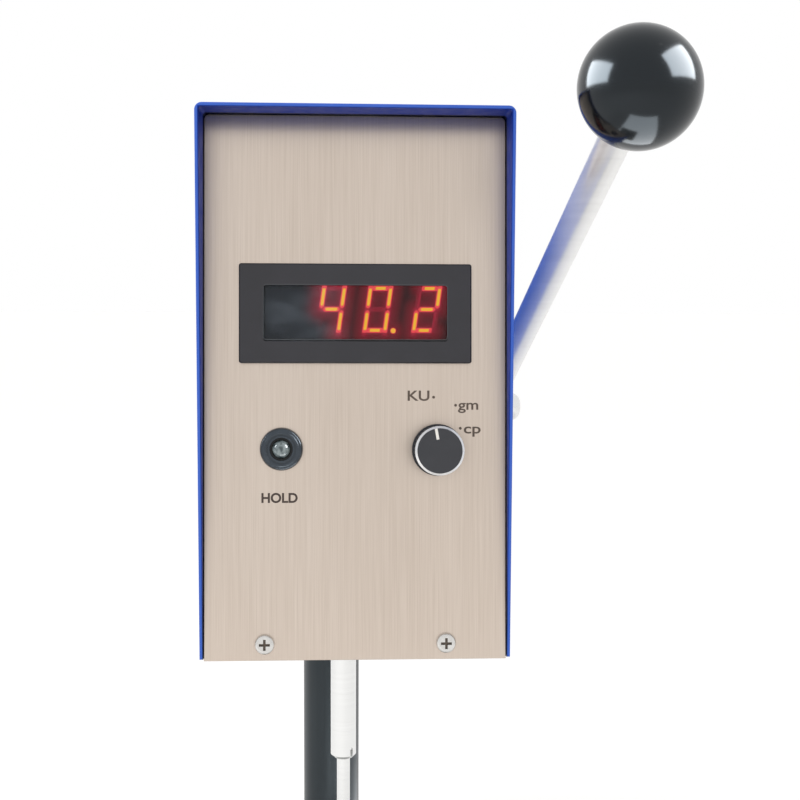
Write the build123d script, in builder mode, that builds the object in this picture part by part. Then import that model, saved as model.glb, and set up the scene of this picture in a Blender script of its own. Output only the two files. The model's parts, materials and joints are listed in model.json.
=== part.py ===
from build123d import *
import math
import os

# Rotational viscometer: a motor head that slides on a column above a sample can.
# Millimetres, +Z up. The origin is the centre of the can seat, on the spindle's axis,
# and the faceplate looks towards -Y.

# Sample can, lift and where the head stands
can_diameter = 87.0
can_height = 98.5
rim_clearance = 5.5          # paddle above the rim of the can while the head is raised
lift_travel = 80.0
rotor_reach = 77.2           # end of the drive sleeve to the underside of the paddle
sleeve_drop = 61.0           # underside of the head to the end of the drive sleeve
head_offset = 5.0            # middle of the head, to the right of the spindle
column_offset = -6.0         # column, to the left of the spindle
front_reach = 50.0           # front edge of the cover, ahead of the spindle

# Fits
slide_fit = 0.04             # running clearance on a radius
press_fit = 0.02             # clearance on a radius between pieces that stay together
screw_clearance = 0.1
loose_gap = 0.3

# Base and can seat
base_width = 190.0
base_length = 236.0
base_front = 82.0            # front edge of the base, ahead of the spindle
base_thickness = 16.0
base_corner = 18.0
base_chamfer = 2.0
foot_diameter = 28.0
foot_height = 10.0
foot_inset = 24.0
foot_screw_diameter = 5.0
seat_floor = 3.0
seat_inset = 1.5
seat_rim_width = 3.0
seat_rim_height = 2.0
seat_play = 0.75
seat_to_column = 0.75
seat_screw_circle = 30.0
seat_screw_head = 8.0
seat_screw_sink = 2.0
seat_screw_thread = 6.0
seat_screw_socket = 1.4

# Column and its rack
column_diameter = 28.0
column_above_block = 1.0
spigot_diameter = 20.0
spigot_length = 4.5
bolt_diameter = 8.0
bolt_grip = 14.0
bolt_hole_depth = 24.0
bolt_head_diameter = 15.0
bolt_head_height = 5.0
bolt_pocket_diameter = 26.0
bolt_pocket_depth = 7.5
washer_thickness = 1.6
cap_diameter = 36.0
cap_thickness = 4.0
cap_stud_length = 16.0
cap_hole_depth = 20.0
rack_flat = 1.0              # depth of the flat that the rack teeth are cut into
gear_module = 1.5
gear_teeth = 48
pressure_angle = 20.0
gear_backlash = 0.15
gear_width = 8.0
gear_hub_wall = 7.0
gear_pin_diameter = 3.0
gear_pin_inset = 0.4
spare_teeth = 1              # beyond the travel, at each end of the sector and the rack

# Head casing
head_width = 130.0
head_height = 228.5
sheet = 1.5
cover_corner = 3.0
cover_gap = 0.1
floor_rise = 0.5
roof_gap = 0.3
bend_radius = 2.0
side_lip_start = 16.0        # from the front edge of the cover
side_lip_end = 10.0          # from the back panel
passage_gap = 1.5            # around the column and the sleeve, in the floor
panel_lean = 5.12            # faceplate leans back, in degrees
panel_recess = 1.0
panel_side_gap = 0.15
panel_drop = 0.9
panel_corner = 2.5
side_lip_height = 14.0
clip_length = 14.0
clip_width = 14.0
clip_spread = 40.0
buffer_thickness = 2.7
screw_head_diameter = 7.4
screw_head_height = 2.2
casing_screw_diameter = 4.0
casing_screw_length = 8.0
faceplate_screw_x = 38.0
faceplate_screw_height = 6.0
faceplate_screw_head = 8.3
front_lip_height = 14.0

# Display, positions on the faceplate from the middle and from the cover's lower edge
bezel_width = 97.2
bezel_height = 41.6
bezel_rise = 2.9
bezel_corner = 1.0
display_height = 144.3
window_width = 77.3
window_height = 23.4
window_corner = 1.5
window_sheet = 1.5
window_sink = 1.2            # window behind the front of the bezel
window_margin = 1.3
skirt_depth = 12.0
skirt_wall = 2.5
digit_gap = 0.4              # between the window and the digits
digit_block_depth = 8.0
digit_block_gap = 0.3
board_thickness = 1.6

# Hold button
hold_x = -31.0
hold_height = 87.6
hold_ring_diameter = 18.0
hold_ring_rise = 3.2
hold_bush_diameter = 12.0
hold_collar_diameter = 9.6
hold_lens_diameter = 7.8
hold_bush_depth = 14.0
hold_travel = 1.5
hold_collar_sink = 0.9       # collar behind the front of the ring
hold_collar_length = 7.0
hold_lens_seat = 2.0
hold_lens_length = 3.4
hold_lens_round = 3.0
hold_bush_end = 2.0
hold_nut_width = 15.0
hold_nut_thickness = 3.0

# Selector knob
knob_x = 34.4
knob_height = 87.2
knob_diameter = 20.4
knob_skirt_diameter = 21.6
knob_length = 12.5
knob_gap = 1.5
knob_bevel = 0.9
knob_ribs = 36
selector_bush_diameter = 9.5
selector_shaft_diameter = 6.0
selector_body_diameter = 22.0
selector_body_depth = 16.0
selector_nut_width = 13.0
selector_nut_thickness = 2.5
selector_shaft_end = 4.0     # of the body, behind the shaft
knob_roof = 2.5              # of the knob, in front of the shaft
knob_skirt_height = 2.0
knob_rib_radius = 0.45
pointer_angle = 10.0         # pointer left of straight up, at rest
pointer_length = 4.6
pointer_width = 1.2
pointer_depth = 0.5

# Slide block and its bushes
block_width = 44.0
block_corner = 6.0
bush_wall = 3.0
lower_bush_length = 24.0
upper_bush_length = 20.0
bore_relief = 1.0
cheek_thickness = 8.0
cheek_radius = 14.0
cheek_gap = 0.5
block_screw_diameter = 4.0
block_screw_length = 12.0
block_screw_depth = 14.0
block_screw_spread = 17.5

# Lift lever
lever_axis_height = 91.5     # above the underside of the cover
lever_lean = 58.4            # forward of straight up, in degrees
lever_splay = 6.1            # outward from the side of the head, in degrees
lever_length = 258.6         # pivot to the centre of the ball
lever_stand_off = 8.5        # rod's axis from the side of the head, at the pivot
lever_shaft_diameter = 10.0
lever_bush_wall = 2.0
clip_groove_depth = 0.5
clip_groove_width = 1.1
clip_rim = 2.5
rod_diameter = 13.0
rod_spigot_diameter = 9.0
rod_spigot_gap = 1.5         # between the rod's end and the lever shaft
rod_thread = 17.0            # inside the ball
ball_diameter = 45.0
ball_flat_radius = 7.2
hub_diameter = 28.0
hub_length = 14.9
hub_neck = 20.0
cap_nut_length = 9.9
cap_nut_width = 15.2
wall_bush_flange = 21.0
wall_bush_wall = 3.0
wall_bush_rim = 1.0
hub_gap = 0.3                # between the wall bush and the lever's hub

# Spindle, bearings, torque spring and motor
sleeve_diameter = 11.65
sleeve_chamfer = 1.5
journal_diameter = 8.0
rotor_diameter = 6.0
rotor_grip = 28.0            # length of the rotor's shaft inside the sleeve
rotor_end_gap = 1.0
drive_slot_width = 1.3       # slot in the end of the sleeve for the rotor's drive pin
drive_slot_length = 5.6
drive_slot_turn = -50.0      # degrees from +X
drive_pin_sink = 0.5         # pin's end below the sleeve's surface
set_screw_diameter = 3.0
set_screw_socket = 0.8
set_screw_rise = 0.4
bearing_diameter = 22.0
bearing_width = 7.0
housing_size = 60.0
housing_flange = 6.0
housing_tube_diameter = 30.0
housing_height = 40.0
housing_corner = 5.0
housing_bore_gap = 4.0       # around the journal, between the bearings
bearing_ring = 2.0
bearing_shield_sink = 0.4
pillar_diameter = 8.0
pillar_spread = 24.0
pillar_screw_grip = 8.0
spring_room = 22.0           # between the housing and the motor plate
motor_plate_thickness = 3.0
motor_size = 42.0
motor_height = 34.0
motor_shaft_diameter = 5.0
motor_boss_diameter = 22.0
motor_boss_height = 2.0
motor_shaft_grip = 10.0
motor_corner = 4.5
motor_groove = 0.8
motor_groove_inset = 8.0
disc_diameter = 34.0
disc_thickness = 1.5
disc_slots = 12
disc_slot_depth = 3.0
disc_slot_width = 2.0
sensor_post_width = 10.0
sensor_post_depth = 7.0
sensor_post_y = 21.0
sensor_jaw_width = 7.0
sensor_jaw_depth = 10.0
sensor_gap = 1.0             # around the rim of each disc
lower_disc_rise = 3.0        # above the housing
upper_disc_drop = 5.0        # below the motor plate
spring_diameter = 16.0
spring_wire = 1.4
torque_spring_turns = 3
paddle_span = 54.0
paddle_blade_width = 12.0
paddle_blade_height = 22.0
paddle_bar_height = 9.0
paddle_sheet = 1.6
paddle_hub_wall = 1.5

# Boards and power module inside the head
module_width = 24.0
module_length = 62.0
module_height = 38.0
module_foot_width = 24.0
module_ear = 6.0
module_wall_gap = 3.5
module_y = 62.0
board_length = 64.0
board_tall = 50.0
board_y = 63.0
bracket_length = 66.0
bracket_height = 63.0
bracket_foot = 11.0
bracket_wall_gap = 3.5
spacer_length = 3.0
spacer_diameter = 5.0
spacer_inset = 5.0
chip_size = 16.0
chip_height = 2.5
capacitor_diameter = 8.0
capacitor_height = 10.0

# Back panel: power inlet and switch
inlet_x = 33.0
inlet_height = 34.0
inlet_width = 27.0
inlet_tall = 20.0
inlet_depth = 22.0
inlet_flange = 2.0           # rim around the socket, both its width and its thickness
inlet_mouth_width = 24.0
inlet_mouth_tall = 16.0
inlet_mouth_depth = 18.0
inlet_mouth_corner = 4.0
inlet_pin_width = 2.0
inlet_pin_tall = 4.0
inlet_pin_length = 14.0
inlet_pin_spread = 7.0
rocker_height = 70.0
rocker_width = 13.0
rocker_tall = 19.0
rocker_body_depth = 18.0
rocker_pivot_depth = 3.0
rocker_rim = 1.5             # flange of the switch body, both its width and its thickness
rocker_wall = 1.5
rocker_pocket = 8.0
rocker_proud = 0.6           # middle of the rocker above the panel
rocker_tilt = 8.0            # each way from level
vent_slots = 7
vent_length = 34.0
vent_width = 3.0
vent_pitch = 7.0


# Places worked out from the sizes above

column_radius = column_diameter / 2
column_x = column_offset
column_y = can_diameter / 2 + seat_play + seat_rim_width + seat_to_column + column_radius
seat_radius = can_diameter / 2 + seat_play + seat_rim_width
base_top = -(seat_floor - seat_inset)
base_bottom = base_top - base_thickness
base_centre_y = base_length / 2 - base_front

paddle_bottom = can_height + rim_clearance
sleeve_end = paddle_bottom + rotor_reach
head_z = sleeve_end + sleeve_drop
front_y = -front_reach

gear_radius = gear_module * gear_teeth / 2
gear_tip = gear_radius + gear_module
gear_root = gear_radius - 1.25 * gear_module
gear_pitch = math.pi * gear_module
rack_tip = column_radius - rack_flat
rack_pitch_line = rack_tip - gear_module
rack_root = rack_pitch_line - 1.25 * gear_module
lever_y = column_y + rack_pitch_line + gear_radius
lever_z = head_z + lever_axis_height
travel_teeth = math.ceil(lift_travel / gear_pitch)
tooth_step = 360 / gear_teeth
sector_start = -(spare_teeth + 0.5) * tooth_step
sector_end = (travel_teeth + spare_teeth + 0.5) * tooth_step

sector_reach = gear_tip * max(0.0, -math.cos(math.radians(sector_end)))
back_inside = lever_y + max(sector_reach, cheek_radius) + 2.8
back_y = back_inside + sheet
head_depth = back_y - front_y
floor_z = head_z + floor_rise
floor_top = floor_z + sheet
roof_z = head_z + head_height - sheet
inner_half = head_width / 2 - sheet

# the lowered head stops its roof buffer just short of the cap on the column
block_bottom = floor_top
column_top = roof_z - buffer_thickness - loose_gap - lift_travel - cap_thickness
block_top = column_top - column_above_block
block_height = block_top - block_bottom
cheek_inner = gear_width / 2 + cheek_gap
cheek_outer = cheek_inner + cheek_thickness
bush_radius = column_radius + bush_wall

lean = math.radians(panel_lean)
right_wall = head_offset + head_width / 2
rod_x = right_wall + lever_stand_off


def panel_y(rise, depth):
    """Y of a point this deep behind the face of the faceplate, at this rise above the cover's edge."""
    return front_y + panel_recess + rise * math.tan(lean) + depth / math.cos(lean)


faceplate_screw_points = [(-faceplate_screw_x, faceplate_screw_height),
                          (faceplate_screw_x, faceplate_screw_height)]
front_plane = Plane(origin=(head_offset, front_y, head_z), x_dir=(1, 0, 0), z_dir=(0, -1, 0))
back_plane = Plane(origin=(head_offset, back_y, head_z), x_dir=(-1, 0, 0), z_dir=(0, 1, 0))
panel = Plane(origin=(head_offset, front_y + panel_recess, head_z), x_dir=(1, 0, 0),
              z_dir=(0, -math.cos(lean), math.sin(lean)))
panel_out = Axis(panel.origin, panel.z_dir)
gear_plane = Plane(origin=(column_x, lever_y, lever_z), x_dir=(0, -1, 0), z_dir=(1, 0, 0))


def screws(plane, points, shank, length, head, head_height, cross=True):
    """Pan-head screws standing on a plane, one solid at each point, heads outward."""
    with BuildPart() as group:
        with BuildSketch(plane):
            with Locations(*points):
                Circle(head / 2)
        extrude(amount=head_height)
        rims = group.edges().group_by(Axis(plane.origin, plane.z_dir))[-1]
        fillet(rims, radius=head_height * 0.6)
        with BuildSketch(plane):
            with Locations(*points):
                Circle(shank / 2)
        extrude(amount=-length)
        if cross:
            with BuildSketch(plane.offset(head_height)):
                with Locations(*points):
                    Rectangle(head * 0.55, head * 0.13)
                    Rectangle(head * 0.13, head * 0.55)
            extrude(amount=-head_height * 0.55, mode=Mode.SUBTRACT)
    return group


def hex_points(width, count=6):
    """Radius of the corners of a hexagon with this width across its flats."""
    return width / 2 / math.cos(math.pi / count)


# Stand

with BuildPart() as base_plate:
    with BuildSketch(Plane.XY.offset(base_bottom)):
        with Locations((head_offset, base_centre_y)):
            RectangleRounded(base_width, base_length, base_corner)
    extrude(amount=base_thickness)
    chamfer(base_plate.faces().sort_by(Axis.Z)[-1].edges(), length=base_chamfer)
    with BuildSketch(Plane.XY.offset(base_top)):
        Circle(seat_radius + press_fit)
    extrude(amount=-seat_inset, mode=Mode.SUBTRACT)
    with BuildSketch(Plane.XY.offset(-seat_floor)):
        with PolarLocations(seat_screw_circle, 3, start_angle=30):
            Circle(seat_screw_head / 2 - seat_screw_sink + press_fit)
    extrude(amount=-seat_screw_thread - 0.5, mode=Mode.SUBTRACT)
    with BuildSketch(Plane.XY.offset(base_top)):
        with Locations((column_x, column_y)):
            Circle(spigot_diameter / 2 + press_fit)
    extrude(amount=-spigot_length, mode=Mode.SUBTRACT)
    with BuildSketch(Plane.XY.offset(base_bottom)):
        with Locations((column_x, column_y)):
            Circle(bolt_diameter / 2 + screw_clearance)
    extrude(amount=base_thickness, mode=Mode.SUBTRACT)
    with BuildSketch(Plane.XY.offset(base_bottom)):
        with Locations((column_x, column_y)):
            Circle(bolt_pocket_diameter / 2)
    extrude(amount=bolt_pocket_depth, mode=Mode.SUBTRACT)
    with BuildSketch(Plane.XY.offset(base_bottom)):
        with Locations((head_offset, base_centre_y)):
            with GridLocations(base_width - 2 * foot_inset, base_length - 2 * foot_inset, 2, 2):
                Circle(foot_screw_diameter / 2 + screw_clearance)
    extrude(amount=base_thickness * 0.6, mode=Mode.SUBTRACT)

foot_grid = [loc.position for loc in GridLocations(base_width - 2 * foot_inset,
                                                  base_length - 2 * foot_inset, 2, 2)]
foot_points = [(p.X + head_offset, p.Y + base_centre_y) for p in foot_grid]

with BuildPart() as feet:
    with BuildSketch(Plane.XY.offset(base_bottom - foot_height)):
        with Locations(*foot_points):
            Circle(foot_diameter / 2)
    extrude(amount=foot_height, taper=-4)
    with BuildSketch(Plane.XY.offset(base_bottom - foot_height)):
        with Locations(*foot_points):
            Circle(foot_diameter * 0.22)
    extrude(amount=foot_height * 0.6, mode=Mode.SUBTRACT)
    with BuildSketch(Plane.XY.offset(base_bottom - foot_height)):
        with Locations(*foot_points):
            Circle(foot_screw_diameter / 2 + screw_clearance)
    extrude(amount=foot_height, mode=Mode.SUBTRACT)

foot_screw_plane = Plane(origin=(0, 0, base_bottom - foot_height * 0.4), x_dir=(1, 0, 0), z_dir=(0, 0, -1))
foot_screws = screws(foot_screw_plane, [(x, -y) for x, y in foot_points], foot_screw_diameter,
                     foot_height * 0.4 + base_thickness * 0.5, foot_diameter * 0.34, foot_height * 0.3)

with BuildPart() as can_seat:
    with BuildSketch(Plane.XY.offset(-seat_floor)):
        Circle(seat_radius)
    extrude(amount=seat_floor + seat_rim_height)
    with BuildSketch(Plane.XY):
        Circle(can_diameter / 2 + seat_play)
    extrude(amount=seat_rim_height, mode=Mode.SUBTRACT)
    fillet(can_seat.edges().group_by(Axis.Z)[-1], radius=seat_rim_height * 0.3)
    with BuildSketch(Plane.XY):
        with PolarLocations(seat_screw_circle, 3, start_angle=30):
            Circle(seat_screw_head / 2 + screw_clearance)
    extrude(amount=-seat_screw_sink, taper=45, mode=Mode.SUBTRACT)
    with BuildSketch(Plane.XY.offset(-seat_floor)):
        with PolarLocations(seat_screw_circle, 3, start_angle=30):
            Circle(seat_screw_head / 2 - seat_screw_sink + screw_clearance)
    extrude(amount=seat_floor, mode=Mode.SUBTRACT)

with BuildPart() as seat_screws:
    with BuildSketch(Plane.XY):
        with PolarLocations(seat_screw_circle, 3, start_angle=30):
            Circle(seat_screw_head / 2)
    extrude(amount=-seat_screw_sink, taper=45)
    with BuildSketch(Plane.XY.offset(-seat_screw_sink)):
        with PolarLocations(seat_screw_circle, 3, start_angle=30):
            Circle(seat_screw_head / 2 - seat_screw_sink)
    extrude(amount=seat_screw_sink - seat_floor - seat_screw_thread)
    with BuildSketch(Plane.XY):
        with PolarLocations(seat_screw_circle, 3, start_angle=30):
            RegularPolygon(seat_screw_socket, 6)
    extrude(amount=-seat_screw_socket, mode=Mode.SUBTRACT)

slope = math.tan(math.radians(pressure_angle))
tip_half = gear_pitch / 4 + (gear_module + 0.5) * slope
root_half = gear_pitch / 4 - 1.25 * gear_module * slope

with BuildSketch() as rack_space:
    with BuildLine():
        Polyline((rack_root, -root_half), (rack_tip + 0.5, -tip_half),
                 (rack_tip + 0.5, tip_half), (rack_root, root_half), close=True)
    make_face()

with BuildPart() as column:
    with BuildSketch(Plane.XY.offset(base_top)):
        with Locations((column_x, column_y)):
            Circle(column_radius)
    extrude(amount=column_top - base_top)
    chamfer(column.edges().group_by(Axis.Z)[-1], length=1.0)
    with BuildSketch(Plane.XY.offset(base_top)):
        with Locations((column_x, column_y)):
            Circle(spigot_diameter / 2)
    extrude(amount=-spigot_length)
    with BuildSketch(Plane.XY.offset(base_top - spigot_length)):
        with Locations((column_x, column_y)):
            Circle(bolt_diameter / 2 + press_fit)
    extrude(amount=bolt_hole_depth, mode=Mode.SUBTRACT)
    with BuildSketch(Plane.XY.offset(column_top)):
        with Locations((column_x, column_y)):
            Circle(bolt_diameter / 2 + press_fit)
    extrude(amount=-cap_hole_depth, mode=Mode.SUBTRACT)
    # the flat on the back, from just below the lowest tooth space to just above the highest
    rack_low = lever_z - (travel_teeth + spare_teeth + 0.5) * gear_pitch
    rack_high = lever_z + (spare_teeth + 0.5) * gear_pitch
    with BuildSketch(Plane.YZ.offset(column_x - column_radius)):
        with Locations((column_y + rack_tip, (rack_low + rack_high) / 2)):
            Rectangle(rack_flat + 1, rack_high - rack_low, align=(Align.MIN, Align.CENTER))
    extrude(amount=column_diameter, mode=Mode.SUBTRACT)
    with BuildSketch(Plane.YZ.offset(column_x - column_radius)):
        for space in range(-travel_teeth - spare_teeth, spare_teeth + 1):
            with Locations((column_y, lever_z + space * gear_pitch)):
                add(rack_space.sketch)
    extrude(amount=column_diameter, mode=Mode.SUBTRACT)

with BuildPart() as column_bolt:
    with BuildSketch(Plane.XY.offset(base_bottom + bolt_pocket_depth - washer_thickness)):
        with Locations((column_x, column_y)):
            Circle(bolt_pocket_diameter / 2 - 1)
    extrude(amount=washer_thickness)
    with BuildSketch(Plane.XY.offset(base_bottom + bolt_pocket_depth - washer_thickness)):
        with Locations((column_x, column_y)):
            RegularPolygon(bolt_head_diameter / 2, 6)
    extrude(amount=-bolt_head_height)
    with BuildSketch(Plane.XY.offset(base_bottom + bolt_pocket_depth - washer_thickness)):
        with Locations((column_x, column_y)):
            Circle(bolt_diameter / 2)
    extrude(amount=washer_thickness + base_thickness - bolt_pocket_depth + bolt_grip)

with BuildPart() as column_cap:
    with BuildSketch(Plane.XY.offset(column_top)):
        with Locations((column_x, column_y)):
            Circle(cap_diameter / 2)
    extrude(amount=cap_thickness)
    chamfer(column_cap.edges().group_by(Axis.Z)[-1], length=1.0)
    with BuildSketch(Plane.XY.offset(column_top)):
        with Locations((column_x, column_y)):
            Circle(bolt_diameter / 2)
    extrude(amount=-cap_stud_length)

# Head casing

with BuildPart() as cover:
    with BuildSketch(front_plane):
        with BuildLine():
            FilletPolyline(
                (-head_width / 2, 0), (-head_width / 2, head_height),
                (head_width / 2, head_height), (head_width / 2, 0), radius=cover_corner)
            offset(amount=sheet, side=Side.RIGHT)
        make_face()
    extrude(amount=-head_depth)
    fillet(cover.faces().filter_by(Axis.Y).sort_by(Axis.Y)[0].edges(), radius=sheet * 0.3)
    with BuildSketch(Plane.YZ.offset(right_wall - 2 * sheet)):
        with Locations((lever_y, lever_z)):
            Circle(lever_shaft_diameter / 2 + wall_bush_wall)
    extrude(amount=3 * sheet, mode=Mode.SUBTRACT)
    side_screw_points = [(y, floor_top + side_lip_height * 0.55)
                         for y in (front_y + head_depth * 0.2, front_y + head_depth * 0.8)]
    with BuildSketch(Plane.YZ.offset(head_offset - head_width)):
        with Locations(*side_screw_points):
            Circle(casing_screw_diameter / 2 + screw_clearance)
    extrude(amount=2 * head_width, mode=Mode.SUBTRACT)

floor_width = 2 * (inner_half - cover_gap)
lip_x = inner_half - cover_gap

with BuildPart() as chassis:
    with BuildSketch(Plane.YZ.offset(head_offset - floor_width / 2)):
        with BuildLine():
            FilletPolyline(
                (panel_y(front_lip_height, sheet), head_z + front_lip_height),
                (panel_y(floor_rise, sheet), floor_z), (back_y, floor_z),
                (back_y, roof_z - roof_gap), radius=bend_radius)
            offset(amount=sheet, side=Side.LEFT)
        make_face()
    extrude(amount=floor_width)
    thickness_edges = chassis.edges().filter_by(Axis.Y).filter_by(lambda e: abs(e.length - sheet) < 0.01)
    fillet(thickness_edges.group_by(Axis.Z)[-1], radius=panel_corner)
    lip_start = front_y + side_lip_start
    lip_length = back_inside - side_lip_end - lip_start
    with BuildSketch(Plane.XY.offset(floor_top)):
        for side in (-1, 1):
            with Locations((head_offset + side * (lip_x - sheet / 2), lip_start + lip_length / 2)):
                Rectangle(sheet, lip_length)
    extrude(amount=side_lip_height)
    with BuildSketch(Plane.XY.offset(floor_z)):
        with Locations((column_x, column_y)):
            Circle(column_radius + passage_gap)
        Circle(sleeve_diameter / 2 + passage_gap)
        with Locations((column_x, column_y)):
            with GridLocations(2 * block_screw_spread, 2 * block_screw_spread, 2, 2):
                Circle(block_screw_diameter / 2 + screw_clearance)
        with GridLocations(2 * pillar_spread, 2 * pillar_spread, 2, 2):
            Circle(block_screw_diameter / 2 + screw_clearance)
    extrude(amount=sheet, mode=Mode.SUBTRACT)
    with BuildSketch(Plane.YZ.offset(head_offset - head_width)):
        with Locations(*side_screw_points):
            Circle(casing_screw_diameter / 2 + screw_clearance)
    extrude(amount=2 * head_width, mode=Mode.SUBTRACT)
    with BuildSketch(panel):
        with Locations(*faceplate_screw_points):
            Circle(casing_screw_diameter / 2 + screw_clearance)
    extrude(amount=-6 * sheet, mode=Mode.SUBTRACT)
    with BuildSketch(back_plane):
        with Locations((inlet_x, inlet_height)):
            Rectangle(inlet_width + 2 * screw_clearance, inlet_tall + 2 * screw_clearance)
        with Locations((inlet_x, rocker_height)):
            Rectangle(rocker_width + 2 * screw_clearance, rocker_tall + 2 * screw_clearance)
        with Locations((0, head_height * 0.78)):
            with GridLocations(0, vent_pitch, 1, vent_slots):
                SlotOverall(vent_length, vent_width)
    extrude(amount=-sheet, mode=Mode.SUBTRACT)

with BuildPart() as roof_buffer:
    with BuildSketch(Plane.XY.offset(roof_z - buffer_thickness)):
        with Locations((column_x, column_y)):
            RectangleRounded(cap_diameter, cap_diameter, cap_diameter / 9)
    extrude(amount=buffer_thickness)

with BuildPart() as panel_clips:
    clip_foot = head_height - sheet
    clip_head = clip_foot - clip_length
    for clip_middle in (-clip_spread, clip_spread):
        with BuildSketch(Plane.YZ.offset(head_offset + clip_middle - clip_width / 2)):
            with BuildLine():
                FilletPolyline(
                    (panel_y(clip_head, sheet), head_z + clip_head),
                    (panel_y(clip_foot, sheet), head_z + clip_foot),
                    (panel_y(clip_foot, sheet) + clip_length, head_z + clip_foot), radius=bend_radius)
                offset(amount=sheet, side=Side.RIGHT)
            make_face()
        extrude(amount=clip_width)

panel_top = (roof_z - head_z - 0.2) / math.cos(lean)
panel_bottom = -panel_drop / math.cos(lean)
panel_width = 2 * (inner_half - panel_side_gap)

with BuildPart() as faceplate:
    with BuildSketch(panel):
        with Locations((0, (panel_top + panel_bottom) / 2)):
            Rectangle(panel_width, panel_top - panel_bottom)
    extrude(amount=-sheet)
    upright = faceplate.edges().filter_by(lambda e: abs(e.length - sheet) < 0.01)
    fillet(upright.group_by(Axis.Z)[-1], radius=panel_corner)
    fillet(faceplate.faces().sort_by(panel_out)[-1].edges(), radius=sheet * 0.2)
    with BuildSketch(panel):
        with Locations((0, display_height)):
            Rectangle(bezel_width - 2 * skirt_wall, bezel_height - 2 * skirt_wall)
        with Locations((hold_x, hold_height)):
            Circle(hold_bush_diameter / 2 + screw_clearance)
        with Locations((knob_x, knob_height)):
            Circle(selector_bush_diameter / 2 + screw_clearance)
        with Locations(*faceplate_screw_points):
            Circle(casing_screw_diameter / 2 + screw_clearance)
    extrude(amount=-sheet, mode=Mode.SUBTRACT)

faceplate_screws = screws(panel, faceplate_screw_points, casing_screw_diameter, casing_screw_length,
                          faceplate_screw_head, screw_head_height)

left_wall = Plane(origin=(head_offset - head_width / 2, 0, 0), x_dir=(0, -1, 0), z_dir=(-1, 0, 0))
right_wall_plane = Plane(origin=(right_wall, 0, 0), x_dir=(0, 1, 0), z_dir=(1, 0, 0))
left_screws = screws(left_wall, [(-y, z) for y, z in side_screw_points], casing_screw_diameter,
                     casing_screw_length, screw_head_diameter, screw_head_height)
right_screws = screws(right_wall_plane, side_screw_points, casing_screw_diameter,
                      casing_screw_length, screw_head_diameter, screw_head_height)
with BuildPart() as casing_screws:
    add(faceplate_screws.part)
    add(left_screws.part)
    add(right_screws.part)

# Display

skirt_width = bezel_width - 2 * skirt_wall - 2 * screw_clearance
skirt_tall = bezel_height - 2 * skirt_wall - 2 * screw_clearance
lens_width = window_width + 2 * window_margin
lens_tall = window_height + 2 * window_margin

with BuildPart() as display_bezel:
    with BuildSketch(panel):
        with Locations((0, display_height)):
            RectangleRounded(bezel_width, bezel_height, bezel_corner)
    extrude(amount=bezel_rise)
    chamfer(display_bezel.faces().sort_by(panel_out)[-1].edges(), length=0.5)
    with BuildSketch(panel):
        with Locations((0, display_height)):
            Rectangle(skirt_width, skirt_tall)
    extrude(amount=-skirt_depth)
    with BuildSketch(panel.offset(bezel_rise)):
        with Locations((0, display_height)):
            RectangleRounded(window_width, window_height, window_corner)
    extrude(amount=-bezel_rise - 1, mode=Mode.SUBTRACT)
    with BuildSketch(panel.offset(bezel_rise - window_sink)):
        with Locations((0, display_height)):
            Rectangle(lens_width + 2 * screw_clearance, lens_tall + 2 * screw_clearance)
    extrude(amount=-bezel_rise + window_sink - skirt_depth, mode=Mode.SUBTRACT)

with BuildPart() as display_window:
    with BuildSketch(panel.offset(bezel_rise - window_sink)):
        with Locations((0, display_height)):
            Rectangle(lens_width, lens_tall)
    extrude(amount=-window_sheet)

digit_front = bezel_rise - window_sink - window_sheet - digit_gap

with BuildPart() as digit_block:
    with BuildSketch(panel.offset(digit_front)):
        with Locations((0, display_height)):
            with GridLocations(lens_width / 4, 0, 4, 1):
                Rectangle(lens_width / 4 - digit_block_gap, lens_tall - digit_block_gap)
    extrude(amount=-digit_block_depth)

with BuildPart() as display_board:
    with BuildSketch(panel.offset(digit_front - digit_block_depth)):
        with Locations((0, display_height)):
            Rectangle(lens_width, lens_tall)
    extrude(amount=-board_thickness)

# Hold button

with BuildPart() as hold_bush:
    with BuildSketch(panel):
        with Locations((hold_x, hold_height)):
            Circle(hold_ring_diameter / 2)
    extrude(amount=hold_ring_rise)
    fillet(hold_bush.edges().sort_by(panel_out)[-1], radius=hold_ring_rise * 0.6)
    with BuildSketch(panel.offset(hold_ring_rise)):
        with Locations((hold_x, hold_height)):
            Circle(hold_ring_diameter * 0.35)
            Circle(hold_ring_diameter * 0.31, mode=Mode.SUBTRACT)
    extrude(amount=-hold_ring_rise * 0.2, mode=Mode.SUBTRACT)
    with BuildSketch(panel):
        with Locations((hold_x, hold_height)):
            Circle(hold_bush_diameter / 2)
    extrude(amount=-hold_bush_depth)
    with BuildSketch(panel.offset(hold_ring_rise)):
        with Locations((hold_x, hold_height)):
            Circle(hold_collar_diameter / 2 + slide_fit)
    extrude(amount=-hold_ring_rise - hold_bush_depth + hold_bush_end, mode=Mode.SUBTRACT)

with BuildPart() as hold_nut:
    with BuildSketch(panel.offset(-sheet)):
        with Locations((hold_x, hold_height)):
            RegularPolygon(hex_points(hold_nut_width), 6)
            Circle(hold_bush_diameter / 2 + press_fit, mode=Mode.SUBTRACT)
    extrude(amount=-hold_nut_thickness)

collar_front = hold_ring_rise - hold_collar_sink
collar_back = collar_front - hold_collar_length

with BuildPart() as hold_collar:
    with BuildSketch(panel.offset(collar_front)):
        with Locations((hold_x, hold_height)):
            Circle(hold_collar_diameter / 2)
    extrude(amount=-hold_collar_length)
    with BuildSketch(panel.offset(collar_front)):
        with Locations((hold_x, hold_height)):
            Circle(hold_lens_diameter / 2 + press_fit)
    extrude(amount=-hold_lens_seat, mode=Mode.SUBTRACT)

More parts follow.
